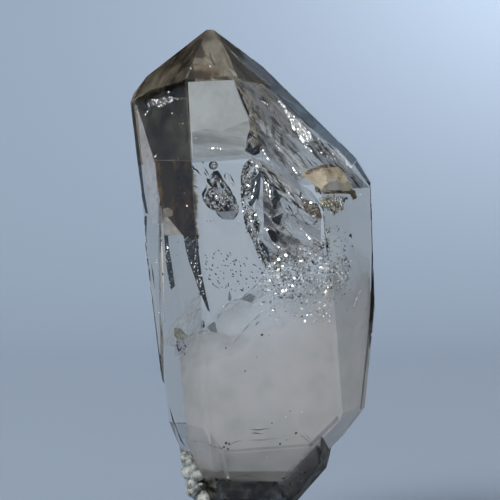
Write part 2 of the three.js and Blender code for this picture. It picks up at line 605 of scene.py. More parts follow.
def band(line, width):
    """The outline of a strip along a few points, pointed at both ends."""
    left, right = [], []
    if len(line) == 2:
        line = (line[0], tuple((Vector(line[0]) + Vector(line[1])) / 2), line[1])
    for before, here, after in zip(line, line[1:], line[2:]):
        along = (Vector(after) - Vector(before)).normalized()
        side = Vector((-along.y, along.x)) * width / 2
        left.append(tuple(Vector(here) + side))
        right.append(tuple(Vector(here) - side))
    return [line[0]] + left + [line[-1]] + right[::-1]


def add_strokes(shape, lines, width, depth, thick):
    """Thin pointed bodies along a few lines of the picture."""
    for line in lines:
        add_pane(shape, band(line, width), depth, depth + thick, STROKE_STEP, CRYSTAL_SURFACE)


def add_shards(shape, outlines, depth, thick):
    """Thin bodies with the given outlines, a little uneven behind."""
    for index, outline in enumerate(outlines):
        far = rippled(depth + thick, 0.3 * thick, 4, index)
        add_pane(shape, outline, depth, far, SHARD_STEP, CRYSTAL_SURFACE)


def scattered(chance, outline, count):
    """Chance pixels within an outline."""
    across, down = extent(outline)
    found = []
    while len(found) < count:
        pixel = (chance.uniform(*across), chance.uniform(*down))
        if inside(pixel, outline):
            found.append(pixel)
    return found


def add_slivers(shape, chance, outline, count, length, width, turn, spread, near, far, thick):
    """Long narrow bodies at chance places and depths, laid roughly along one direction."""
    for x, y in scattered(chance, outline, count):
        angle = math.radians(turn + chance.uniform(-spread, spread))
        reach = length * chance.uniform(0.3, 1)
        along = Vector((math.cos(angle), math.sin(angle))) * reach / 2
        bow = Vector((-along.y, along.x)) * chance.uniform(-0.15, 0.15)
        here = Vector((x, y))
        line = (tuple(here - along), tuple(here + bow), tuple(here + along))
        depth = chance.uniform(near, far)
        sliver = band(line, width * chance.uniform(0.4, 1))
        add_pane(shape, sliver, depth, depth + thick, SLIVER_STEP, CRYSTAL_SURFACE)


def picked(chance, amount):
    """An amount as it is, or one by chance between a pair."""
    return chance.uniform(*amount) if isinstance(amount, tuple) else amount


def add_chip(shape, chance, centre, size, facing, spread):
    """A thin chip with four to six corners, turned much the way given, by a spread."""
    stray = Vector([chance.gauss(0, spread) for _ in range(3)])
    facing = (facing + stray).normalized()
    across = facing.orthogonal().normalized()
    up = facing.cross(across)
    corners = chance.randint(4, 6)
    thick = facing * size * CHIP_THICKNESS
    top, bottom = [], []
    for index in range(corners):
        angle = 2 * math.pi * (index + chance.uniform(-0.3, 0.3)) / corners
        reach = size * chance.uniform(0.3, 0.6)
        point = centre + across * math.cos(angle) * reach + up * math.sin(angle) * reach
        top.append(shape.verts.new(point + thick))
        bottom.append(shape.verts.new(point - thick))
    shape.faces.new(top)
    shape.faces.new(bottom[::-1])
    for index in range(corners):
        after = (index + 1) % corners
        shape.faces.new((top[after], top[index], bottom[index], bottom[after]))


ANY_WAY = Vector()
LIT = Vector((-0.3, -0.75, 0.6))


def shining(pixel):
    """How a cleavage face under a pixel lies when it mirrors the key light into the camera."""
    view = sight(pixel)
    place, normal, _, _ = CRYSTAL_SURFACE.ray_cast(CAMERA_PLACE, view)
    if place is None:
        return LIT
    light = (place - Vector(KEY_PLACE)).normalized()
    return -(bent(view, normal) + bent(light, normal)).normalized()


def add_chips(shape, chance, pixels, depths, sizes, facing=ANY_WAY, spread=1):
    """Chips at depths and of sizes in mm. Those without a facing all flash."""
    for pixel in pixels:
        centre = seen(pixel, picked(chance, depths))
        size = picked(chance, sizes) * MM
        way = shining(pixel) if facing is None else facing
        add_chip(shape, chance, centre, size, way, spread)


def add_lump(shape, chance, centre, size, detail=1, uneven=0.25):
    """A rough rounded grain."""
    made = bmesh.ops.create_icosphere(shape, subdivisions=detail, radius=size / 2)
    stretch = Vector([chance.uniform(0.7, 1.2) for _ in range(3)])
    for vertex in made["verts"]:
        rough = 1 + uneven * chance.uniform(-1, 1)
        vertex.co = centre + vertex.co * stretch * rough


def add_grains(shape, chance, pixels, depths, sizes):
    """Grains at depths and of sizes in mm."""
    for pixel in pixels:
        centre = seen(pixel, picked(chance, depths))
        add_lump(shape, chance, centre, picked(chance, sizes) * MM)


def add_sheet(shape, line, drop, thickness):
    """A wavy sheet that starts on a line in the picture and runs back through the crystal."""
    top = []
    for pixel in resampled(line, SHEET_STEP):
        start = seen(pixel, SHEET_DEPTH)
        way = (seen(pixel, 1) - start).normalized()
        _, _, _, length = HEAD_SURFACE.ray_cast(start, way)
        row = []
        for step in range(SHEET_ROWS + 1):
            depth = (length - SHEET_MARGIN) * step / SHEET_ROWS
            place = start + way * depth
            wave = SHEET_WAVE * noise.noise(place * WAVES_PER_METRE) * min(1, depth / SHEET_CALM)
            row.append(shape.verts.new(place + Vector((0, 0, wave - drop * depth))))
        top.append(row)
    under = Vector((0, 0, thickness * MM))
    bottom = [[shape.verts.new(vertex.co - under) for vertex in row] for row in top]
    rims = []
    for sheet in (top, bottom):
        for row, after in zip(sheet, sheet[1:]):
            for k in range(SHEET_ROWS):
                shape.faces.new((row[k], after[k], after[k + 1], row[k + 1]))
        sides = [row[-1] for row in sheet[1:-1]], [row[0] for row in sheet[-2:0:-1]]
        rims.append(sheet[0] + sides[0] + sheet[-1][::-1] + sides[1])
    upper, lower = rims
    for index in range(len(upper)):
        shape.faces.new((upper[index - 1], upper[index], lower[index], lower[index - 1]))


# Smoke in the tip and down the left of the head, and painted shade along its rims

# Outlines in pixels, of the left side,
GREY_SIDE = [
    (186.2, 80.5), (191.7, 160), (154.3, 160), (148, 140), (141, 118), (135.5, 100), (143, 96), (150, 90.5),
    (160, 87.5), (175, 83),
]
BLACK_BAND = [
    (186.4, 81), (187.8, 98), (176, 98), (165, 97), (150, 99), (145, 112), (140, 113), (136, 100),
    (150, 91), (160, 88), (175, 84),
]
BROWN_SIDE = [
    (191.7, 160.5), (195.4, 215), (197, 238), (190, 240), (182.5, 235), (174, 225), (167, 216),
    (163.5, 222), (160, 200), (157, 183), (154.5, 160.5),
]
# the right half of the brown zone: smoky brown, deepened with painted shade,
DEEP_BROWN_AND_SHADE = [
    (176, 160.5), (191.7, 160.5), (195.4, 215), (197, 238), (190, 240), (182.5, 235), (176, 226),
    (173, 205), (175, 190),
]
EDGE_STREAK = [
    (183, 234), (197, 236), (199, 255), (201.5, 272), (204, 285), (206.5, 297), (210, 312), (207.5, 310),
    (202.5, 298), (198, 288), (193.5, 274), (189, 262), (185.5, 248),
]
LEFT_STREAK = [
    (164, 234), (168, 235.5), (169, 248), (171.5, 262), (173.5, 275), (175, 286), (171, 290), (168, 276),
    (166, 262), (165, 247),
]
TAN_CHIP = [(163.4, 223), (167, 217), (175, 226), (182.5, 235), (164.5, 236)]
TAN_CAP = [(163, 209), (168, 207.5), (173, 211), (172.5, 216), (167, 217), (163.5, 221)]
# of the tip,
SMOKY_LEFT_TIP = [
    (206, 31), (197, 50), (187.5, 78.5), (175, 82.5), (160, 87), (150, 90), (142, 96), (134, 98), (141, 85),
    (150, 70.5), (180, 50),
]
DARK_LEFT_TIP = [
    (193, 47), (189, 60), (186, 66), (178, 62), (170, 70), (158, 78), (155, 72), (168, 60), (180, 51),
]
PALE_FRONT_TIP = [(207, 31), (215, 31), (229, 62), (212, 62), (192, 64)]
SMOKY_FRONT_TIP = [
    (187.5, 79), (191, 68), (198, 66), (204, 64.5), (210, 67), (214, 70), (221, 75), (216, 77.5),
    (208, 77.5), (200, 79),
]
GREEN_FRONT_TIP = [
    (191, 66), (196, 62), (206, 59), (214, 61), (229, 60), (234, 77), (221, 78), (212, 72), (203, 66),
]
SMOKY_RIGHT_TIP = [
    (216, 31), (232, 41), (251, 55.5), (282, 86.5), (277, 91), (268, 86), (262, 84), (250, 82), (238, 77.5),
    (230, 58),
]
# of grey shade in the clear half,
GREY_RIGHT = [
    (238, 78), (250, 83), (262, 85), (273, 88), (280, 104), (289, 120), (292, 133), (288, 142), (276, 132),
    (262, 130), (254, 132), (250, 110),
]
BROWN_PATCH = [(300, 112), (309, 114), (317, 124), (315, 129), (308, 127), (302, 120)]
CLEAR_BAND = [
    (194, 164), (242, 163), (244, 200), (252, 238), (266, 270), (250, 290), (231, 301), (215, 320),
    (198, 332), (187, 334), (184, 300), (207, 312), (199, 255), (197, 215),
]
LEFT_VEIL = [
    (161, 262), (175, 262), (180, 300), (184, 350), (187, 400), (192, 440), (184, 437), (174, 416),
    (169, 405), (161, 345), (156, 290),
]
# of the head's dark rims, painted shade where the edges mirror dark surroundings,
RIGHT_RIM = [
    (371.5, 190), (375.5, 190.5), (376, 240), (375, 290), (372, 335), (369.5, 350), (369, 330), (371, 290),
    (372, 240),
]
LEFT_RIM = [
    (131, 101), (133.5, 102), (139.5, 150), (144, 190), (148, 214), (145.5, 213), (140.5, 190), (135, 150),
]
LOW_LEFT_RIM = [
    (143.5, 216), (142.5, 245), (143.5, 262), (149, 300), (155, 345), (161, 384), (164, 384), (158.5, 345),
    (153, 300), (147.5, 262), (146, 245), (147, 216),
]
CORNER_RIM = [(357, 161), (374.5, 189), (371, 188), (362, 176), (354, 164)]
EDGE_BAND = [
    (272, 79), (281, 86), (320, 121), (357, 160), (352, 165), (335, 149), (312, 128), (290, 107), (277, 92),
]
# and of thin cloudy and streaky sheets, the front veil partly and the left strip wholly painted light
# a faint veil, made pale as painted light that comes down through the crystal,
FRONT_VEIL_AND_LIGHT = [
    (188, 82), (234.5, 80), (243, 95), (247, 112), (250, 128), (247, 138), (244, 155.5), (230, 156.5),
    (210, 158), (192.3, 159.3), (190, 120),
]
FRONT_STREAKS = [
    (192, 132), (206, 129), (222, 131), (238, 124), (248, 120), (250, 128), (247, 138), (244, 155),
    (230, 156), (210, 157.5), (193, 158.8),
]
RIGHT_VEIL = [
    (237, 79), (250, 83.5), (262, 86), (272, 90), (283, 101), (296, 114), (312, 133), (330, 150),
    (350, 168), (369, 187.5), (346, 189), (342, 182), (330, 178), (306, 176), (300, 182), (285, 168),
    (270, 152), (262, 142), (256, 128), (247, 108), (243, 95),
]
RIGHT_TIP_VEIL = [
    (217, 33), (232, 43), (251, 57), (280, 86), (272, 86), (262, 84), (250, 82), (238, 77.5), (229, 60),
]
# a pale strip of painted light, where light from behind shows through the left faces,
PAINTED_LIGHT_STRIP = [
    (137, 108), (143, 125), (149, 145), (155, 163), (158, 185), (162, 215), (163, 224), (153, 224),
    (149, 205), (145, 180), (141, 150),
]
RIB_VEIL = [
    (250, 157), (262, 160), (275, 170), (290, 182), (305, 196), (318, 208), (316, 216), (306, 210),
    (290, 200), (274, 187), (262, 176),
]
CRACK_VEIL = [
    (262, 176), (274, 186), (290, 199), (306, 209), (321, 217), (321, 258), (300, 266), (272, 268),
    (262, 246), (258, 232), (254, 214), (256, 200),
]
SLATE_VEIL = [
    (262, 143), (270, 153), (285, 169), (300, 183), (312, 192), (320, 203), (318, 208), (305, 196),
    (290, 182), (275, 170), (262, 160),
]

TIP_STOPS = [(0.36, (0.07, 0.05, 0.03)), (0.5, (0.3, 0.26, 0.19)), (0.62, (0.52, 0.49, 0.42))]
SIDE_STOPS = [(0.38, (0.02, 0.016, 0.01)), (0.5, (0.12, 0.1, 0.06)), (0.62, (0.3, 0.27, 0.19))]
BROWN_SIDE_STOPS = [(0.4, (0.08, 0.05, 0.018)), (0.5, (0.3, 0.18, 0.07)), (0.6, (0.55, 0.37, 0.17))]
PALE_TAN_STOPS = [(0.35, (0.5, 0.46, 0.4)), (0.65, (0.78, 0.75, 0.7))]


def phantom_depth(pixel):
    """The brown phantom gets deeper down the tip's front face, and thinner towards its right."""
    return max(0.2, 0.25 + 0.055 * (pixel[1] - 64) - 0.012 * (pixel[0] - 188) + 0.5 * ripple(pixel, 6, 5))


def make_smoky_zones():
    """Clear bodies that take light away: smoky zones, and painted shade at the rims and in part of the brown
    zone.
    """
    make_veil(
        "smoky_side", smoke_and_painted_shade("grey_smoke", (0.4, 0.36, 0.3), 2500),
        (GREY_SIDE, 0.1, clouded(1.2, 1.6, 18, 1), 3),
    )
    make_veil(
        "brown_zone", smoke_and_painted_shade("brown_smoke", (0.45, 0.3, 0.06), 2700),
        (BROWN_SIDE, 0.1, clouded(1.4, 1.2, 14, 1), 3),
    )
    make_veil(
        "deep_smoke_and_painted_shade", smoke_and_painted_shade("dark_smoke_and_painted_shade", (0.42, 0.33, 0.2), 5000),
        (BLACK_BAND, 0.12, clouded(0.5, 0.3, 12, 4), 3),
        # smoky brown, and painted shade over the right half of the brown zone
        (DEEP_BROWN_AND_SHADE, 0.03, clouded(0.45, 0.3, 10, 2), 3),
        (DARK_LEFT_TIP, 0.12, clouded(0.32, 0.25, 8, 6), 3),
        (BROWN_PATCH, 0.12, clouded(0.4, 0.3, 5, 6), 2),
    )
    make_veil(
        "smoky_tip", smoke_and_painted_shade("tip_smoke", (0.46, 0.38, 0.23), 1100),
        (SMOKY_LEFT_TIP, 0.1, clouded(1.9, 3, 12, 2), 3),
        (SMOKY_RIGHT_TIP, 0.06, clouded(0.3, 0.8, 9, 3), 3),
        (PALE_FRONT_TIP, 0.14, rippled(0.3, 0.1, 10, 3), 3),
        (GREEN_FRONT_TIP, 0.2, clouded(0.6, 0.5, 9, 5), 2),
    )
    make_veil(
        "brown_phantom", smoke_and_painted_shade("phantom_smoke", (0.5, 0.32, 0.14), 3600),
        (SMOKY_FRONT_TIP, 0.08, phantom_depth, 2),
    )
    make_veil(
        "grey_veil", smoke_and_painted_shade("veil_smoke", (0.5, 0.5, 0.52), 400),
        (GREY_RIGHT, 0.1, rippled(0.9, 0.2, 12, 3), 3), (LEFT_VEIL, 0.1, 0.4, 4), (CLEAR_BAND, 0.1, 0.55, 4),
    )
    # Painted shade: dark rims where the edges mirror dark surroundings, and two dark streaks
    rims = [(rim, 0.05, 0.45, 2, CRYSTAL_SURFACE) for rim in (RIGHT_RIM, LEFT_RIM, CORNER_RIM, LOW_LEFT_RIM)]
    make_veil(
        "dark_streaks_and_painted_rim_shade", smoke_and_painted_shade("edge_shade", (0.37, 0.36, 0.35), 9500), *rims,
        (EDGE_STREAK, 0.1, clouded(0.55, 0.4, 2.5, 3), 1.5),
        (LEFT_STREAK, 0.1, clouded(0.55, 0.4, 2.5, 2), 1.5),
    )
    # A band of painted shade along the right edge of the tip
    make_veil(
        "painted_shade_edge_band", smoke_and_painted_shade("band_shade", (0.38, 0.44, 0.46), 6500),
        (EDGE_BAND, 0.06, 0.45, 2, CRYSTAL_SURFACE),
    )


def make_thin_veils():
    """Cloudy and streaky sheets close under the faces; the front veil is partly and the left strip wholly
    painted light.
    """
    # A faint veil under the front face, pale with painted light that comes down through the crystal
    make_veil(
        "front_veil_and_painted_light", frost_and_painted_light("veil_frost_and_painted_light", 0.5, 0.7, (0.92, 0.95, 0.93), 110), (FRONT_VEIL_AND_LIGHT, 0.3, 0.36, 3)
    )
    make_veil(
        "front_streaks", streaky("soft_streaks", (0.42, 0.44, 0.45), 0, 0.3, 420, 6),
        (FRONT_STREAKS, 0.2, 0.24, 3),
    )
    make_veil(
        "right_veil", streaky("grey_streaks", (0.4, 0.44, 0.48), 0.1, 0.75, 500, 49),
        (RIGHT_VEIL, 0.3, 0.36, 3, CRYSTAL_SURFACE), (SLATE_VEIL, 0.3, 0.36, 3, CRYSTAL_SURFACE),
    )
    make_veil(
        "right_tip_veil", streaky("brown_streaks", (0.34, 0.32, 0.29), 0.15, 0.7, 500, 40),
        (RIGHT_TIP_VEIL, 0.35, 0.4, 3),
    )
    # A pale pane of painted light, for light from behind seen through the left faces
    make_veil("painted_light_strip_pane", frost_and_painted_light("painted_light_frost", 0.3, 0.6, (0.9, 0.9, 0.93), 200), (PAINTED_LIGHT_STRIP, 0.2, 0.26, 3))
    make_veil("tip_clouds", clouds("brown_clouds", 0.68, TIP_STOPS, 230), (SMOKY_LEFT_TIP, 0.25, 0.29, 3))
    make_veil("side_clouds", clouds("dark_clouds", 0.5, SIDE_STOPS, 230), (GREY_SIDE, 0.25, 0.29, 3))
    make_veil(
        "brown_side_clouds", clouds("deep_brown_clouds", 0.7, BROWN_SIDE_STOPS, 260),
        (BROWN_SIDE, 0.25, 0.29, 3),
    )
    make_veil(
        "rib_veil", streaky("beige_streaks", (0.6, 0.57, 0.52), 0, 0.95, 900, 46), (RIB_VEIL, 0.35, 0.4, 3)
    )
    make_veil(
        "crack_veil", streaky("lilac_streaks", (0.55, 0.55, 0.58), 0.1, 0.7, 420, 25),
        (CRACK_VEIL, 1.2, 1.26, 3),
    )
    make_veil(
        "tan_chip", speckled("pale_tan", PALE_TAN_STOPS, 500),
        (TAN_CHIP, rippled(0.25, 0.1, 4, 1), 0.5, 2), (TAN_CAP, rippled(0.2, 0.1, 3, 2), 0.28, 2),
    )


# The stem and the shoulder

STEM_TOP_LEFT = (197, 476)
STEM_TOP_RIGHT = (279, 481)
SHOULDER_TOP = (316, 445)
SHOULDER_OUTER = (340, 447)
ABOVE_STEM = (240, 400)
LEFT_OF_SHOULDER = (200, 400)
RIGHT_OF_STEM = (320, 400)
SHOULDER_INNER = 5.5 * MM
SHOULDER_HEIGHT = 11.3 * MM
SIDE_CRYSTALS = -8 * MM
STEM_FRONT = [
    (198, 479), (215, 481), (240, 482), (262, 481), (279, 482), (284, 490), (282, 499), (200, 499),
    (197, 488),
]
SHOULDER_FRONT = [
    (316, 447), (328, 450), (329, 458), (322, 470), (310, 481), (298, 493), (290, 498), (283, 492),
    (280, 483), (297, 465),
]
SHOULDER_RIM = [(316, 445.5), (325, 447), (330, 452), (329, 460), (323, 469), (317, 474), (318, 460)]
# Where painted shade lies under the head, and its dark edge lines
UNDER_ZONE = [
    (187, 438), (193, 441), (210, 444), (222, 448), (233, 444), (241, 440.5), (262, 440), (279, 437),
    (296, 432), (305, 433), (314, 445), (298, 460.5), (279, 461), (262, 461), (241, 460), (220, 463),
    (205, 463), (197, 462), (192, 458), (186, 448),
]
UNDER_LEFT = [
    (188, 440), (196, 442), (210, 445), (222, 449), (227, 452), (224, 460), (232, 464), (226, 472),
    (210, 473), (198, 472), (193, 462), (187, 448),
]
UNDER_LINES = [
    ((189, 440), (196, 442), (204, 441)), ((204, 441), (213, 446.5), (222, 449)),
    ((228, 446), (235, 442), (243, 440)), ((243, 440), (262, 440), (279, 438)),
    ((297, 432), (306, 439), (315, 446)), ((205, 475), (218, 479), (232, 477)),
    ((232, 477), (246, 475), (262, 479)),
]

SKIN_STOPS = [(0.38, (0.015, 0.014, 0.012)), (0.5, (0.06, 0.055, 0.045)), (0.62, (0.15, 0.14, 0.12))]
SHOULDER_STOPS = [(0.38, (0.08, 0.07, 0.05)), (0.5, (0.24, 0.21, 0.16)), (0.62, (0.45, 0.42, 0.36))]
STEM_STOPS = [(0.38, (0.02, 0.018, 0.014)), (0.5, (0.1, 0.085, 0.065)), (0.62, (0.32, 0.3, 0.26))]


def picture_plane(first, second, below):
    """The plane through two pixels and the camera, facing the side of a third pixel."""
    normal = sight(first).cross(sight(second)).normalized()
    if normal.dot(sight(below)) < 0:
        normal.negate()
    return CAMERA_PLACE, normal


def make_smoky_stem(crystal):
    """The dark stem, the shoulder on its right, and painted shade under the head and along its lower edges.
    """
    place, normal = picture_plane(STEM_TOP_RIGHT, SHOULDER_TOP, LEFT_OF_SHOULDER)
    stem = crystal.copy()
    cut(stem, *picture_plane(STEM_TOP_LEFT, STEM_TOP_RIGHT, ABOVE_STEM))
    cut(stem, place, -normal)
    piece("smoky_stem", stem, smoke_and_painted_shade("stem_smoke", (0.4, 0.34, 0.24), 1250))
    shoulder = crystal.copy()
    cut(shoulder, place, normal)
    cut(shoulder, *picture_plane(SHOULDER_TOP, SHOULDER_OUTER, RIGHT_OF_STEM))
    piece("smoky_shoulder", shoulder, smoke_and_painted_shade("shoulder_smoke", (0.4, 0.37, 0.32), 420))
    # Painted shade under the head, and dark lines of painted shade along its lower edges
    make_veil(
        "painted_shade_underside", smoke_and_painted_shade("under_painted_shade", (0.5, 0.45, 0.36), 180),
        (UNDER_ZONE, 0.1, rippled(0.5, 0.2, 12, 1), 3), (UNDER_LEFT, 0.15, rippled(1.9, 0.6, 8, 2), 2),
    )
    shape = bmesh.new()
    add_strokes(shape, UNDER_LINES, 1.6, 0.3, 0.3)
    piece("underside_painted_shade_lines", shape, smoke_and_painted_shade("under_line_painted_shade", (0.42, 0.4, 0.36), 3000))
    make_veil(
        "shoulder_rim", smoke_and_painted_shade("rim_smoke", (0.4, 0.37, 0.32), 4500),
        (SHOULDER_RIM, 0.05, 0.6, 2, CRYSTAL_SURFACE),
    )
    make_veil(
        "stem_clouds", clouds("stem_brown", 0.45, STEM_STOPS, 700),
        (STEM_FRONT, 0.3, 0.34, 3, CRYSTAL_SURFACE),
    )
    make_veil(
        "shoulder_clouds", clouds("shoulder_brown", 0.3, SHOULDER_STOPS, 500),
        (SHOULDER_FRONT, 0.2, 0.24, 3, CRYSTAL_SURFACE),
    )


def add_skin(shape, polygon, rise, sink):
    """A closed thin body over one face of the crystal, so many mm above and below it."""
    upper, lower = (
        [shape.verts.new(corner.co + polygon.normal * height * MM) for corner in polygon.verts]
        for height in (rise, -sink)
    )
    shape.faces.new(upper)
    shape.faces.new(lower[::-1])
    for index in range(len(upper)):
        shape.faces.new((upper[index - 1], lower[index - 1], lower[index], upper[index]))


def make_skins(crystal):
    """A dull dark skin over the end of the shoulder, and shade behind the ends of the side crystals."""
    skin, shade = bmesh.new(), bmesh.new()
    for polygon in crystal.faces:
        centre, normal = polygon.calc_center_median(), polygon.normal
        if centre.x > SHOULDER_INNER and centre.z < SHOULDER_HEIGHT and normal.x > 0.65:
            add_skin(skin, polygon, 0.02, 0.15)
        if centre.x < SIDE_CRYSTALS and normal.y < -0.9:
            add_skin(shade, polygon, -0.02, 0.12)
    piece("shoulder_skin", skin, speckled("dull_skin", SKIN_STOPS, 900), within=False)
    piece("side_crystal_shade", shade, smoke_and_painted_shade("end_shade", (0.42, 0.46, 0.52), 11000))


# The hazy lower half

HAZE_TOP_LEFT = (174, 331)
HAZE_TOP_RIGHT = (350, 240)
HAZE_SIDE_TOP = (173, 300)
HAZE_SIDE_FOOT = (189, 440)
HAZE_BACKWARD = Vector((0, 10, -2.5))
BROAD_FACE_DEPTH = 1.8
OTHER_FACE_DEPTH = 0.8


def make_haze(planes):
    """Haze set back from the faces, deeper behind the broad front face, and closed above and at its left."""
    moved = []
    for place, normal in planes:
        depth = BROAD_FACE_DEPTH if normal.y < -0.95 else OTHER_FACE_DEPTH
        moved.append((place - normal * depth * MM, normal))
    left, right = seen(HAZE_TOP_LEFT, 0), seen(HAZE_TOP_RIGHT, 0)
    top = (right - left).cross(HAZE_BACKWARD).normalized()
    side_top, side_foot = seen(HAZE_SIDE_TOP, 0), seen(HAZE_SIDE_FOOT, 0)
    inward = (seen(HAZE_SIDE_TOP, 5) - side_top).normalized()
    side = inward.cross(side_foot - side_top).normalized()
    if top.z < 0:
        top.negate()
    if side.x > 0:
        side.negate()
    moved += [(left, top), (side_top, side), (Vector((0, 0, HAZE_FOOT)), Vector((0, 0, -1)))]
    piece("hazy_quartz", inner_body(moved), haze_material())


# Cracks in the clear half

RAGGED_CRACK = [
    (250, 159), (244, 164), (240.5, 176), (241, 195), (242.5, 212), (246, 228), (252, 240), (258, 255),
    (265, 270), (270, 268), (267, 255), (261, 243), (259, 234), (261, 222), (256, 214), (252, 205),
    (250, 195), (250, 182), (257, 174), (254, 164),
]
WIDE_CRACK = [
    (263, 174), (275, 184), (290, 200), (303, 212), (312, 221), (321, 222), (321, 250), (310, 260),
    (296, 262), (284, 264), (276, 270), (271, 262), (267, 246), (263, 235), (264, 220), (263, 205),
]
CONCHOID = [
    (262, 117), (272, 119), (280, 128), (290, 142), (300, 150), (306, 160), (306, 170), (298, 176),
    (300, 190), (292, 184), (276, 168), (264, 152), (259, 140),
]
RIB_CRACK = [
    (252, 158), (262, 163), (272, 172), (286, 186), (298, 196), (306, 206), (300, 208), (286, 200),
    (272, 186), (260, 174),
]
UPPER_CRACK = [
    (241, 150), (243, 141), (247, 134), (251, 131), (259.5, 142), (260, 153), (255, 155.5), (248, 153),
]
# Painted shade: shards of cracks and edges that mirror dark surroundings, and dark lines along them
DARK_SHADE_SHARDS = [
    [(249, 132.5), (251, 134), (249, 137), (247, 139), (245.5, 143), (244, 142.5), (245, 137)],
    [(242.5, 146), (245, 144.5), (243, 149), (241.3, 150)],
    [(249, 165), (250.5, 168), (247, 174.5), (244.5, 173), (246, 169)],
    [(276, 232), (274, 231), (270, 229.5), (267, 230), (269.5, 236.5), (272, 241), (276, 243), (277, 238)],
    [(277, 229), (280, 232), (278, 235), (275.5, 233)],
    [(254.5, 222), (258.5, 219), (259.5, 224), (258, 230), (256.5, 232.5), (255, 229), (253, 226)],
    [(275, 256), (278, 255), (281, 258), (279, 262), (276.5, 260)],
    [(300, 192), (302, 191), (301.5, 196), (301, 201), (303, 206), (300, 203), (298.5, 198)],
    [(314, 203.5), (316.5, 203), (321, 211), (318.5, 211)],
    [(276, 92), (281, 97), (290, 106), (301, 119), (297, 117), (288, 109), (279, 100)],
    [(321, 150), (327, 153), (332, 158), (328, 158.5), (323, 154)],
    [(302, 142), (306, 141.5), (304, 145.5)],
    [(290, 128), (292.5, 127), (291, 130.5)],
    [(311, 260), (314.5, 261.5), (316.5, 265), (313, 264.5)],
    [(301, 269), (304, 264), (305.5, 265), (302.5, 269.5)],
    [(348.5, 236), (351, 233), (352.5, 238), (350, 236.5)],
    [(175, 142), (178.5, 141), (177.5, 145), (174.5, 144.5)],
    [(175, 176.5), (178.5, 176.5), (178.5, 180), (175.5, 179.5)],
]
GREY_SHADE_SHARDS = [
    [
        (247, 150.5), (252, 149), (256, 145.5), (260, 144.5), (260, 153), (257, 154.5), (252, 155.5),
        (249, 152.5),
    ],
    [
        (261.3, 170.5), (259.5, 171), (257, 175), (251.5, 180.5), (249, 185), (251, 187), (248.8, 190),
        (251.5, 193), (250, 196), (252, 199), (248, 202.5), (250, 207.5), (252.5, 206), (256.5, 198.5),
        (258, 201), (260, 190),
    ],
    [
        (277, 182), (279, 184), (281, 189), (283.5, 191.5), (281.5, 196), (280.5, 200), (277, 203),
        (276, 209), (274, 209), (272, 207), (273, 204), (271, 201), (274.5, 197), (272.5, 193), (276, 189),
    ],
    [
        (272, 218), (276, 216.5), (284, 213), (282, 216), (280.5, 222), (279.5, 224.8), (275, 223.5),
        (272, 220.5),
    ],
    [
        (259, 240), (262, 241.5), (267, 247), (269, 252), (270, 259), (271, 267), (268, 262), (263, 253),
        (260, 246),
    ],
    [(291, 170), (293, 170), (297.5, 180), (297, 183), (294, 177)],
    [(291, 153.5), (295, 151.5), (301, 149.5), (298, 152), (293, 155)],
    [(262, 79), (270, 86), (275, 92), (273, 96), (269, 90), (264, 85)],
]
SOFT_SHADE_SHARDS = [
    [(277, 233), (283, 233), (290, 235.5), (300, 239.5), (300, 244), (292, 245), (284, 243.5), (277, 243)],
    [(275, 204), (283, 200), (280.5, 207.5), (276, 209.5)],
    [(262, 200), (266, 203), (272, 206), (279, 212), (271, 216), (266, 210)],
    [(261, 130), (270, 134), (276, 146), (284, 156), (290, 166), (283, 163), (272, 152), (262, 140)],
    [(281, 128), (290, 140), (300, 149), (296, 151), (290, 152), (284, 145)],
    [(322, 238), (326, 246), (329, 258), (324, 262), (322, 250)],
]
DARK_SHADE_LINES = [
    ((249.5, 159.5), (255, 165.5), (261, 171)), ((253, 159.5), (260, 165), (267.5, 171.5)),
    ((260, 170), (266, 175), (270.5, 180), (273.5, 182)), ((251, 131), (254, 135)),
    ((251, 134.5), (254, 137), (258, 141)), ((243, 208), (244.5, 218), (248, 230), (255, 242)),
    ((255, 242), (260, 252), (265, 264), (268, 271)), ((281, 141), (286, 151), (291, 158), (298, 163)),
    ((298, 163), (303, 166), (309, 169)), ((283, 99), (292, 105), (303, 118)),
    ((304, 221), (306.5, 223.5), (309, 225)), ((313, 224), (316, 222), (318, 219.5)),
    ((278, 267), (279, 262), (283, 260)), ((262, 79.5), (276, 92), (290, 106)),
    ((290, 106), (305, 122), (318, 134)), ((318, 134), (330, 146), (342, 158)),
    ((241, 176), (242, 184), (244, 188)), ((245, 198), (247, 194), (251, 192)),
    ((244, 178), (247, 184), (250, 184)), ((246, 188), (248, 190), (251, 189)),
    ((252, 218), (255, 212), (257, 210)), ((286, 251), (290, 254), (295, 257)),
    ((287, 203), (290, 208), (294, 214)), ((218, 33.5), (234, 45), (251, 57.5)),
    ((251, 57.5), (266, 71.5), (281, 87.5)), ((281, 87.5), (310, 114.5), (340, 143.5)),
    ((340, 143.5), (350, 152.5), (358, 162.5)), ((169, 405), (173, 420), (179, 434)),
    ((176, 428), (181, 440), (186, 448)),
]
GREY_SHADE_LINES = [
    ((206, 31), (190, 42), (172, 55), (151, 69)), ((190, 165.5), (195, 169), (201, 175.5)),
    ((269, 130), (277, 139), (284, 150)), ((262, 130), (268, 142), (278, 156)),
    ((209.5, 50), (210.5, 57), (214, 64), (215.5, 71)), ((180, 150), (186, 138), (193, 130)),
    ((193, 130), (199, 127.5), (206, 129)), ((191, 186.5), (195, 186), (199, 189)),
    ((203.5, 329), (202, 324), (200.5, 320)), ((255, 326), (259, 321)),
    ((249, 429), (258, 430), (271, 428)), ((250, 433), (256, 433), (264, 434)), ((221, 149), (224, 152)),
    ((147, 263), (149, 270), (151, 278)), ((144, 250), (147, 262), (150, 285)),
    ((151, 262), (153, 275), (155, 290)),
]
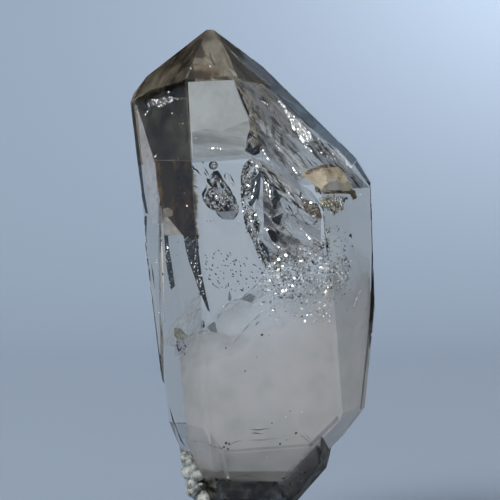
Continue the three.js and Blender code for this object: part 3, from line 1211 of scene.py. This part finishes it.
# Pale lines: white highlight lines, drawn as painted highlights and also flashed by mirror chips
PALE_LINES = [
    ((231.5, 51.5), (240, 60), (249, 68)), ((249, 68), (256, 74), (263, 79.5)),
    ((260.5, 100), (263.5, 102), (268.5, 105.3)), ((273, 140), (277, 146), (283, 155)),
    ((252, 162), (258, 167), (264, 172)), ((273, 243), (277, 246), (282, 249.5)),
    ((284, 187), (289, 193), (292, 199)), ((263, 150), (266, 156), (270, 162)),
    ((300, 228), (305, 233), (310, 239)), ((362, 287), (359, 293), (356, 300), (353, 308)),
    ((145.5, 114.5), (148, 111), (150, 109)), ((303, 432), (309, 438), (316, 445)),
    ((279, 480), (297, 463), (315, 447)), ((318, 139), (327, 142), (333, 146)),
    ((335, 147), (344, 156), (354, 169)), ((256, 181), (254, 190), (252, 198)),
    ((263, 176), (266, 184), (267, 192)), ((209, 148.5), (215, 148), (221, 149)),
    ((155, 157), (157, 153.5)), ((190, 67), (191, 69)), ((209, 65), (210.5, 67)),
    ((287, 160), (293, 168), (300, 178)), ((268, 184), (270, 192), (270, 200)),
]
SPARKLE_CORE = [
    (262, 274), (268, 263), (280, 256), (300, 251), (318, 258), (330, 262), (345, 255), (350, 262),
    (348, 288), (340, 291), (320, 290), (305, 302), (290, 302), (278, 298), (268, 290),
]
SPARKLE_FRINGE = [
    (255, 290), (262, 272), (280, 252), (305, 245), (322, 240), (328, 225), (345, 226), (354, 235),
    (352, 262), (350, 292), (335, 308), (330, 324), (300, 322), (280, 322), (262, 312),
]
FROST_PATCH = [
    (145, 107), (148, 102), (153, 99), (160, 99.5), (166, 96.5), (176, 97.5), (173, 101), (167, 104),
    (161, 108), (155, 105), (150, 107), (146, 109),
]
FROST_TAIL = [(176, 98), (187, 97), (187, 99), (176, 100)]
BEVEL_GLITTER = [
    (277.5, 100), (281, 102), (285, 107), (290, 113), (296, 118), (301, 122), (306, 128), (311, 134),
    (314, 140), (309, 141), (303, 143), (300, 138), (297, 131), (293, 128), (290, 120), (286, 114),
    (281, 107),
]
BRIGHT_STREAK = [
    (333, 147), (336, 147.5), (341, 153), (348, 160), (353, 167), (354.5, 169.5), (351, 168.5), (347, 163),
    (340, 155), (334, 150),
]
BEVEL_SHEEN = [
    (289, 114), (294, 117), (300, 123), (306, 130), (312, 139), (304, 141), (300, 134), (297, 128),
    (292, 122),
]
LOWER_GLITTER = [
    (300, 137), (318, 139), (333, 147), (345, 160), (352, 168), (338, 163), (322, 156), (306, 149),
]
STREAK_GLITTER = [(183, 236), (196, 237), (200, 268), (206, 296), (200, 292), (190, 262)]

# Each crack's outline, its depth, and the length, width, turn, slope and seed of its shards
CRACKS = [
    (RAGGED_CRACK, 1.5, (9, 5, 100, 1.7, 1)),
    (WIDE_CRACK, 2.6, (30, 12, 48, 1.3, 2)),
    (CONCHOID, 1.4, (44, 9, 55, 1.1, 6)),
    (RIB_CRACK, 0.9, (26, 3.5, 44, 1.7, 3)),
    (UPPER_CRACK, 1.1, (9, 6, 120, 1.5, 5)),
]
CRACK_GAP = 0.06
# Dark slivers are painted shade; pale slivers are partly milky filling and partly painted highlights
# Where slivers lie, how many, their length, width, turn and spread, their depths and thickness
DARK_SLIVERS = [
    (RIB_CRACK, 70, 18, 3, 46, 9, 0.1, 0.3, 0.2),
    (RAGGED_CRACK, 70, 7, 1.6, 90, 60, 0.3, 0.6, 0.2),
    (WIDE_CRACK, 30, 9, 1.1, 60, 50, 0.4, 0.8, 0.2),
    (SPARKLE_CORE, 90, 5, 1.3, 60, 80, 0.1, 0.5, 0.2),
    (SPARKLE_FRINGE, 50, 4, 1, 60, 80, 0.1, 0.5, 0.2),
    (BEVEL_GLITTER, 50, 8, 1, 48, 15, 0.1, 0.4, 0.2),
    (RIGHT_VEIL, 70, 24, 2.4, 48, 9, 0.1, 0.25, 0.12),
]
PALE_SLIVERS = [
    (RIB_CRACK, 70, 18, 2.6, 46, 9, 0.08, 0.3, 0.03),
    (RAGGED_CRACK, 80, 7, 1.2, 90, 60, 0.3, 0.6, 0.03),
    (WIDE_CRACK, 40, 12, 0.9, 50, 30, 0.6, 1.6, 0.03),
    (SPARKLE_CORE, 120, 6, 1.4, 60, 80, 0.1, 0.4, 0.03),
    (BEVEL_GLITTER, 80, 9, 1.3, 48, 12, 0.08, 0.3, 0.03),
]


def make_crack_piece(name, material, outlines, depth, lines=(), line_width=0, line_depth=0):
    """A piece of shards and perhaps lines, each at a depth of its own."""
    shape = bmesh.new()
    add_shards(shape, outlines, depth, 0.3)
    add_strokes(shape, lines, line_width, line_depth, 0.25)
    piece(name, shape, material)


def make_cracks():
    """Cracks that mirror and bend the light, painted shade in them, and pale slivers that are partly milky
    and partly painted highlights.
    """
    shape = bmesh.new()
    for outline, near, grain in CRACKS:
        add_pane(shape, outline, shards(near, *grain), shards(near + CRACK_GAP, *grain), 1.3)
    piece("cracks", shape, void_glass(), hollow=True)
    black = smoke_and_painted_shade("black_shade", (0.34, 0.35, 0.36), 26000)
    grey = smoke_and_painted_shade("grey_shade", (0.42, 0.43, 0.45), 13000)
    soft = smoke_and_painted_shade("soft_shade", (0.5, 0.5, 0.5), 5000)
    # Black, grey and soft painted shade in the cracks
    make_crack_piece("black_painted_shade", black, DARK_SHADE_SHARDS, 0.7, DARK_SHADE_LINES, 1.5, 0.6)
    make_crack_piece("grey_painted_shade", grey, GREY_SHADE_SHARDS, 0.75, GREY_SHADE_LINES, 1.4, 0.5)
    make_crack_piece("soft_painted_shade", soft, SOFT_SHADE_SHARDS, 1.1)
    chance = random.Random(8)
    dark, pale = bmesh.new(), bmesh.new()
    # Painted highlights along the pale lines
    add_strokes(pale, PALE_LINES, 1.3, 0.45, 0.08)
    # Dark slivers of painted shade, and pale slivers partly milky and partly painted highlights
    for shape, rows in ((dark, DARK_SLIVERS), (pale, PALE_SLIVERS)):
        for row in rows:
            add_slivers(shape, chance, *row)
    piece("dark_painted_shade_splinters", dark, smoke_and_painted_shade("splinter_shade", (0.42, 0.4, 0.38), 20000))
    piece("milky_and_painted_highlight_splinters", pale, frost_and_painted_light("milky_and_painted_highlight_frost", 0.55, 1))


# The hollow in the shape of a crystal

NEGATIVE_CRYSTAL = [
    (213, 171), (218, 170.5), (223, 179), (229, 187), (236, 199), (239.3, 210.5), (217, 212), (207, 206),
    (202.7, 200), (202, 194), (208, 183), (210, 176),
]
NEGATIVE_FOOT = [(214, 210.5), (221, 211.5), (239, 210.8), (233.8, 219.6), (223.3, 219.6)]
# A white streak at the right of the head, drawn as a painted highlight
RIGHT_STREAK = [
    (361.5, 286), (363, 288), (360, 294), (357, 301), (354.5, 309), (352.5, 307.5), (355, 298),
    (358.5, 291),
]
NEGATIVE_SHADE = [
    [(213, 171.5), (218, 170.5), (221, 175), (223, 179), (220, 178), (216.5, 174.5), (213, 175.5)],
    [(206.5, 178), (210.5, 179.5), (209, 182), (213, 186), (211, 187), (207, 182)],
    [(209, 191), (216, 182), (217.3, 183.5), (212, 189)],
    [(221, 183.5), (224.5, 187), (223, 189), (220, 186)],
    [(208, 193), (209.7, 197), (208.3, 198.5), (207.5, 196)],
    [(210.5, 203), (213.8, 209), (212, 209)],
    [(228, 185), (231.5, 191), (230, 191)],
    [(223, 189), (221.5, 194), (222.5, 194)],
]
NEGATIVE_SHINE = [
    [(208.5, 185), (209.3, 187), (205, 196.5), (203.8, 196)],
    [(211, 179), (214.5, 177.5), (213.5, 184), (211.2, 182)],
    [(217.5, 181), (219.5, 184.5), (221.5, 187.5), (218, 188), (216.8, 184)],
    [(213, 201), (216, 202.3), (213, 205), (211.3, 203)],
    [(226.8, 173), (228.5, 174), (230, 180), (230, 184.5), (227.8, 180)],
    [(232, 182.5), (234.7, 185), (233.5, 187), (231, 184.5)],
    [(222, 203.5), (224.5, 206.5), (223.5, 207)],
    [(206.8, 198), (209, 199), (208, 201.2), (206.6, 200)],
    [(222.5, 181), (228.3, 190), (227, 190)],
]
NEGATIVE_LINES = [
    ((223, 179), (229, 189), (237, 201.5)), ((208, 183), (202.3, 194), (203.5, 201)),
    ((203.5, 201), (208, 206.5), (215, 211.5)), ((215, 211.5), (219, 215.5), (223, 219.5)),
    ((239.2, 211), (236.5, 215), (233.5, 219.5)), ((221, 203), (223, 207), (226, 209.5)),
    ((231, 204), (230.5, 207), (229.5, 210)), ((218, 179), (215, 178), (212, 181)),
    ((237.5, 204), (238.3, 207), (237, 209)), ((213, 193), (214, 197), (212, 201)),
    ((189, 167), (190, 170.5), (192.5, 173)), ((190, 165), (193, 169), (197, 170), (201, 175.5)),
    ((203.5, 171), (205.5, 174), (207.5, 176.5)), ((204, 167), (206.5, 171), (210, 177)),
    ((202.5, 155), (202.9, 156.5), (203.2, 158)), ((202.3, 161), (203, 162.5), (203.6, 164)),
    ((229.5, 173), (232, 179), (235, 184)), ((226, 172), (224.5, 176), (226, 180)),
]
BUBBLE = (213.4, 165.5)
BUBBLE_SIZE = 1 * MM


def make_negative_crystal():
    """A hollow with crystal walls and a bubble above it, and the painted shade and painted shine in them."""
    shape = bmesh.new()
    add_pane(shape, NEGATIVE_CRYSTAL, shards(1.1, 9, 5, 60, 1.5, 4), shards(2.3, 12, 7, 120, 1.4, 9), 1.3)
    made = bmesh.ops.create_icosphere(shape, subdivisions=3, radius=BUBBLE_SIZE / 2)
    for vertex in made["verts"]:
        vertex.co += seen(BUBBLE, 1.5)
    piece("negative_crystal", shape, bpy.data.materials["hollow_wall"], hollow=True)
    black, soft = bpy.data.materials["black_shade"], bpy.data.materials["soft_shade"]
    make_crack_piece("hollow_shadows", black, NEGATIVE_SHADE, 0.45, NEGATIVE_LINES, 1.3, 0.4)
    make_crack_piece("hollow_foot_painted_shade", soft, [NEGATIVE_FOOT], 0.6)
    # Pale painted shine on the hollow's walls and in the streak at the right
    shape = bmesh.new()
    add_shards(shape, NEGATIVE_SHINE + [RIGHT_STREAK], 0.35, 0.06)
    piece("hollow_painted_shine", shape, frost_and_painted_light("painted_shine_frost", 0.9, 1))


# Glitter

YELLOW_LUMP = [
    (322, 199), (330, 196), (342, 197), (348, 198), (343, 203), (344, 209), (338, 211), (336, 216.5),
    (330, 213), (326, 208), (321, 206),
]
BROWN_LUMP = [
    (303, 200), (308, 201), (314, 204), (320, 210), (320, 218), (314, 218), (308, 212), (303, 207),
]
DARK_STOPS = [(0.4, (0.01, 0.01, 0.01)), (0.6, (0.05, 0.045, 0.04))]

# Where cleavage faces lie, how many, and their depths and sizes
GLITTER = [
    (SPARKLE_CORE, 360, (0.15, 0.7), (0.1, 0.42)),
    (SPARKLE_FRINGE, 260, (0.15, 0.7), (0.08, 0.34)),
    (BEVEL_GLITTER, 340, (0.1, 0.4), (0.08, 0.34)),
    (LOWER_GLITTER, 130, (0.15, 0.5), (0.08, 0.24)),
    (RAGGED_CRACK, 120, (0.4, 1), (0.08, 0.3)),
]
SHINY_GLITTER = [
    (FROST_PATCH, 60, (0.08, 0.25), (0.06, 0.15)),
    (STREAK_GLITTER, 36, (0.03, 0.09), (0.1, 0.34)),
    (LEFT_STREAK, 14, (0.03, 0.09), (0.1, 0.3)),
]
GLINTS = [
    (153, 84, 0.16), (168.5, 92, 0.12), (178.5, 107.5, 0.14), (181.5, 115, 0.14), (183, 123.5, 0.2),
    (179.5, 124, 0.14), (196, 138, 0.35), (178.5, 158.5, 0.14), (178.5, 168, 0.16), (187, 205.5, 0.14),
    (194, 470.5, 0.4), (194.5, 406, 0.2), (302, 412, 0.2), (286, 417, 0.14), (267, 457, 0.16),
    (280, 461, 0.16), (272, 473, 0.16), (226, 470, 0.3), (307, 315, 0.18), (326.5, 313, 0.25),
    (316.5, 320.5, 0.18), (323, 340, 0.14), (223.5, 306.5, 0.14), (219.5, 312, 0.14), (345, 284, 0.4),
    (345, 287, 0.35), (159, 312.5, 0.12), (160, 115.5, 0.14), (172, 113.5, 0.14), (184, 193, 0.12),
]
GLINT_PIXELS = [(x, y) for x, y, _ in GLINTS]
# Pale lines flash only above the underside, which starts at this row of pixels
FLASH_ROW = 400
LINE_PIXELS = [pixel for line in PALE_LINES for pixel in resampled(line, 0.7) if pixel[1] < FLASH_ROW]
# Where faces flash, how many or 0 for one at each pixel given, their depths, sizes and spread
FLASHES = [
    (LINE_PIXELS, 0, (0.1, 0.3), (0.08, 0.2), 0.12),
    (FROST_PATCH, 300, (0.04, 0.15), (0.05, 0.13), 0.2),
    (BRIGHT_STREAK, 90, (0.03, 0.06), (0.15, 0.4), 0.06),
    (LOWER_GLITTER, 120, (0.02, 0.1), (0.08, 0.22), 0.1),
    (FROST_TAIL, 9, (0.04, 0.1), (0.04, 0.1), 0.1),
    (BEVEL_GLITTER, 380, (0.02, 0.1), (0.1, 0.3), 0.08),
    (GLINT_PIXELS, 0, (0.08, 0.15), (0.06, 0.16), 0.08),
    (YELLOW_LUMP, 70, (0.1, 0.2), (0.1, 0.3), 0.15),
    (RIB_VEIL, 40, (0.05, 0.3), (0.06, 0.18), 0.15),
    (BROWN_LUMP, 20, (0.1, 0.2), (0.1, 0.3), 0.15),
]


def make_sparkle():
    """Tiny cleavage faces: silver ones that catch the light, white ones that are painted glints, and dark
    ones that are painted shade.
    """
    chance = random.Random(5)
    bright, white, dark = bmesh.new(), bmesh.new(), bmesh.new()
    for row in GLITTER + SHINY_GLITTER:
        outline, count, depths, sizes = row
        add_chips(bright, chance, scattered(chance, outline, count // 2), depths, sizes)
        add_chips(bright, chance, scattered(chance, outline, count // 2), depths, sizes, None, 0.16)
        # White chips facing the light are painted glints
        add_chips(white, chance, scattered(chance, outline, int(count * 0.8)), depths, sizes, LIT, 0.3)
        # Dark chips are painted shade, for faces that mirror dark surroundings
        if row in GLITTER:
            smaller = tuple(size * 0.8 for size in sizes)
            add_chips(dark, chance, scattered(chance, outline, count // 3), depths, smaller)
    for outline, count, depths, sizes, spread in FLASHES:
        pixels = scattered(chance, outline, count) if count else outline
        add_chips(bright, chance, pixels, depths, sizes, None, spread)
    add_chips(white, chance, scattered(chance, FROST_TAIL, 20), (0.08, 0.2), (0.05, 0.12))
    piece("sparkle", bright, silver_flake())
    piece("white_painted_glints", white, frost_and_painted_light("painted_glint_frost", 0.9, 1))
    piece("dark_painted_shade_chips", dark, speckled("sparkle_shade", DARK_STOPS, 2000, 0.3))
    # A pale painted sheen on the narrow bevel
    shape = bmesh.new()
    add_shards(shape, [BEVEL_SHEEN], 0.15, 0.06)
    piece("bevel_painted_sheen", shape, frost_and_painted_light("painted_sheen_veil", 0.3, 1, scale=1600))


# The healed crack over the haze

HEALED_LINE = [
    (174, 341.5), (187, 335.5), (197, 333.5), (205.7, 329), (215.5, 320.5), (223, 309), (231, 301.5),
    (241, 298), (250, 291), (258, 283), (264, 276),
]
SECOND_LINE = [(232, 345), (241, 334), (251, 322), (262, 313)]
GREY_WISPS = [
    [(206, 327), (215, 321.5), (217.5, 333), (211, 331.5)],
    [(229, 290), (231.5, 297), (231, 301), (228, 300)],
    [(240, 299), (250, 293), (256, 297), (252, 303), (246, 301)],
]


def make_healed_crack():
    """A milky sheet back through the head, and the line where it meets the front."""
    shape = bmesh.new()
    add_sheet(shape, HEALED_LINE, 0.1, 0.12)
    piece("healed_crack", shape, frost_and_painted_light("healed_frost", 0, 0.3))
    shape = bmesh.new()
    add_strokes(shape, zip(HEALED_LINE, HEALED_LINE[1:]), 1.2, 0.3, 0.25)
    add_strokes(shape, zip(SECOND_LINE, SECOND_LINE[1:]), 1, 0.8, 0.25)
    add_shards(shape, GREY_WISPS, 0.8, 0.2)
    piece("crack_line", shape, smoke_and_painted_shade("line_shade", (0.45, 0.48, 0.48), 8000))


# Minerals on and in the crystal

TAN_STOPS = [
    (0.3, (0.3, 0.23, 0.13)), (0.42, (0.6, 0.5, 0.35)), (0.55, (0.8, 0.72, 0.56)), (0.7, (0.6, 0.56, 0.42)),
]
BROWN_STOPS = [(0.35, (0.03, 0.02, 0.012)), (0.5, (0.2, 0.14, 0.08)), (0.65, (0.55, 0.47, 0.34))]
OLIVE_STOPS = [(0.35, (0.16, 0.16, 0.1)), (0.5, (0.42, 0.42, 0.32)), (0.65, (0.66, 0.66, 0.56))]
YELLOW_STOPS = [(0.35, (0.4, 0.36, 0.22)), (0.5, (0.95, 0.88, 0.62)), (0.65, (1, 0.98, 0.88))]
CRUST_STOPS = [(0.36, (0.1, 0.1, 0.09)), (0.46, (0.34, 0.35, 0.32)), (0.65, (0.62, 0.63, 0.6))]
TAN_CRUST = [
    (305, 169.5), (312, 167.5), (325, 168), (338, 166.5), (342, 170), (347, 178), (353, 187), (350, 191),
    (338, 191), (329, 192), (321, 192), (318, 185), (312, 178),
]
TAN_LIGHT = [(327, 178), (335, 181), (345, 188), (336, 190.5), (326, 190), (329, 184)]
BROWN_EDGE = [
    (318, 187), (324, 190.5), (340, 190.5), (348, 188), (355, 190.5), (357, 198), (353, 200), (350, 194),
    (340, 193.5), (324, 194),
]
BROWN_TOP = [
    (308, 168), (318, 165.5), (330, 164), (342, 168), (346, 173), (338, 169), (326, 169), (315, 169),
]
OLIVE_PATCH = [(174, 328), (180, 328), (184, 332), (189, 336), (184, 339.5), (178, 341), (174.5, 336)]
SPECK_FIELD = [
    (203, 252), (222, 250), (245, 255), (264, 268), (258, 282), (240, 292), (222, 297), (208, 280),
]
SILL_SPECKS = [(175, 341), (184, 341), (188, 350), (185, 356), (178, 352)]
FLECKS = [
    (205, 87.5, 0.16), (228, 113, 0.18), (231, 117, 0.13), (233.5, 113, 0.1), (234, 117.5, 0.12),
    (240, 93, 0.2), (213, 151.5, 0.16), (290, 411, 0.16), (272, 423, 0.16), (245, 371, 0.2),
    (257, 357, 0.16), (226, 348, 0.2), (262, 335, 0.25), (228.5, 480, 0.4), (226, 443, 0.3),
    (229, 444, 0.25), (224, 447, 0.3), (228, 449, 0.25), (296, 433, 0.3), (287, 440, 0.15),
    (280, 444, 0.25), (310, 452.5, 0.25), (305, 472.5, 0.3), (300, 474, 0.2), (290, 484, 0.35),
    (283, 478.5, 0.3), (293, 492, 0.35), (257, 485, 0.2), (192.5, 460, 0.25), (302, 316.5, 0.2),
    (301, 303, 0.16), (264, 302, 0.2), (269, 335, 0.14), (347, 310, 0.16), (365, 309, 0.16),
    (207, 221, 0.13), (210.5, 221, 0.13), (213.5, 221, 0.1), (177, 255, 0.14), (178, 242, 0.14),
]
TAN_FOLDS = shards(0, 16, 8, 20, 0.8, 6)
CRUST_TOP = Vector((-7.2, -0.5, 10)) * MM
CRUST_FOOT = Vector((-5.2, -0.3, 3.6)) * MM
CRUST_LUMPS = 420
CRUST_SIZES = (0.6, 1.5)
# How far lumps stray from the line between the two, in mm to the right, back and up
CRUST_REACH = [(-2, 0.8), (-2.4, 2.4), (-1, 1)]
# The share of a lump's size that its middle lies under the surface, and that its dark speck has
CRUST_SINK = 0.43
SPECK_SINK = 0.1
SPECK_SHARE = 0.4


def tan_surface(pixel):
    """The clay-coloured crust is folded, within a little."""
    return 0.14 + 0.06 * ripple(pixel, 4, 1) + min(0.1, max(-0.08, TAN_FOLDS(pixel)))


def make_minerals():
    """Clay-coloured, brown, yellow and olive grains, dark flecks and painted pale glints."""
    chance = random.Random(11)
    make_veil("tan_crust", speckled("tan_mineral", TAN_STOPS, 420, 0.6), (TAN_CRUST, tan_surface, 1.6, 1.3))
    make_veil(
        "tan_flake", speckled("light_tan", PALE_TAN_STOPS, 420, 0.5),
        (TAN_LIGHT, rippled(0.04, 0.02, 5, 1), 0.3, 1.5),
    )
    shape = bmesh.new()
    add_pane(shape, BROWN_EDGE, rippled(0.2, 0.16, 2, 2), 0.9, 1.3)
    pixels = scattered(chance, BROWN_LUMP, 110) + scattered(chance, YELLOW_LUMP, 40)
    add_grains(shape, chance, pixels, (0.25, 0.6), (0.15, 0.5))
    add_pane(shape, BROWN_TOP, rippled(0.25, 0.2, 2, 3), 1, 1.3)
    piece("brown_crust", shape, speckled("brown_mineral", BROWN_STOPS, 1200, 0.5))
    shape = bmesh.new()
    pixels = scattered(chance, YELLOW_LUMP, 150) + scattered(chance, BROWN_LUMP, 25)
    add_grains(shape, chance, pixels, (0.25, 0.6), (0.15, 0.45))
    piece("yellow_crust", shape, speckled("yellow_mineral", YELLOW_STOPS, 1500, 0.4))
    make_veil(
        "olive_grain", speckled("olive_mineral", OLIVE_STOPS, 900, 0.5),
        (OLIVE_PATCH, rippled(0.3, 0.25, 3, 6), 0.9, 1.3),
    )
    shape = bmesh.new()
    for x, y, size in FLECKS:
        add_grains(shape, chance, [(x, y)], 0.4, size)
    add_grains(shape, chance, scattered(chance, SILL_SPECKS, 34), 0.2, (0.12, 0.32))
    pixels = scattered(chance, BROWN_EDGE, 12) + scattered(chance, YELLOW_LUMP, 14)
    add_grains(shape, chance, pixels, 0.35, (0.08, 0.2))
    piece("dark_flecks", shape, speckled("dark_mineral", DARK_STOPS, 2000))
    shape = bmesh.new()
    add_slivers(shape, chance, SPECK_FIELD, 85, 4, 1.7, 45, 35, 0.3, 1, 0.1)
    piece("dark_dashes", shape, bpy.data.materials["dark_mineral"])
    # White chips facing the light: painted glints
    shape = bmesh.new()
    for x, y, size in GLINTS:
        add_chips(shape, chance, [(x, y)], 0.25, size * 0.7, LIT, 0.4)
    pixels = scattered(chance, SILL_SPECKS, 20) + scattered(chance, YELLOW_LUMP, 14)
    add_chips(shape, chance, pixels, 0.3, (0.08, 0.2), LIT, 0.4)
    piece("painted_pale_glints", shape, bpy.data.materials["painted_glint_frost"])


def make_stem_crust():
    """Pale lumps down the left of the stem."""
    chance = random.Random(3)
    pale, dark = bmesh.new(), bmesh.new()
    for index in range(CRUST_LUMPS):
        middle = CRUST_TOP.lerp(CRUST_FOOT, chance.random())
        aside = Vector([chance.uniform(*reach) for reach in CRUST_REACH]) * MM
        place, normal, _, _ = CRYSTAL_SURFACE.find_nearest(middle + aside)
        size = chance.uniform(*CRUST_SIZES) * MM
        add_lump(pale, chance, place - normal * size * CRUST_SINK, size, 2, 0.07)
        if index % 3 == 0:
            add_lump(dark, chance, place - normal * size * SPECK_SINK, size * SPECK_SHARE)
    piece("stem_crust", pale, speckled("crust_mineral", CRUST_STOPS, 1500), smooth=True, within=False)
    piece("crust_specks", dark, bpy.data.materials["dark_mineral"], within=False)


# Light paths long enough for many clear bodies one behind the other
BOUNCES = 32
CLEAR_BOUNCES = 24
MIRROR_BOUNCES = 12


def set_render():
    scene = bpy.context.scene
    scene.view_settings.view_transform = "Standard"
    scene.cycles.max_bounces = BOUNCES
    scene.cycles.transparent_max_bounces = BOUNCES
    scene.cycles.transmission_bounces = CLEAR_BOUNCES
    scene.cycles.glossy_bounces = MIRROR_BOUNCES


make_camera()
make_stage()
make_lights()
make_world()
crystal_shape = cleaned_crystal()
head = head_planes(crystal_shape)
HEAD_SURFACE = BVHTree.FromBMesh(inner_body(head))
CRYSTAL_SURFACE = BVHTree.FromBMesh(worn(crystal_shape))
make_smoky_zones()
make_thin_veils()
make_smoky_stem(crystal_shape)
make_skins(crystal_shape)
make_crystal(crystal_shape)
make_haze(head + underside_planes(crystal_shape))
make_healed_crack()
make_cracks()
make_negative_crystal()
make_sparkle()
make_minerals()
make_stem_crust()
set_render()
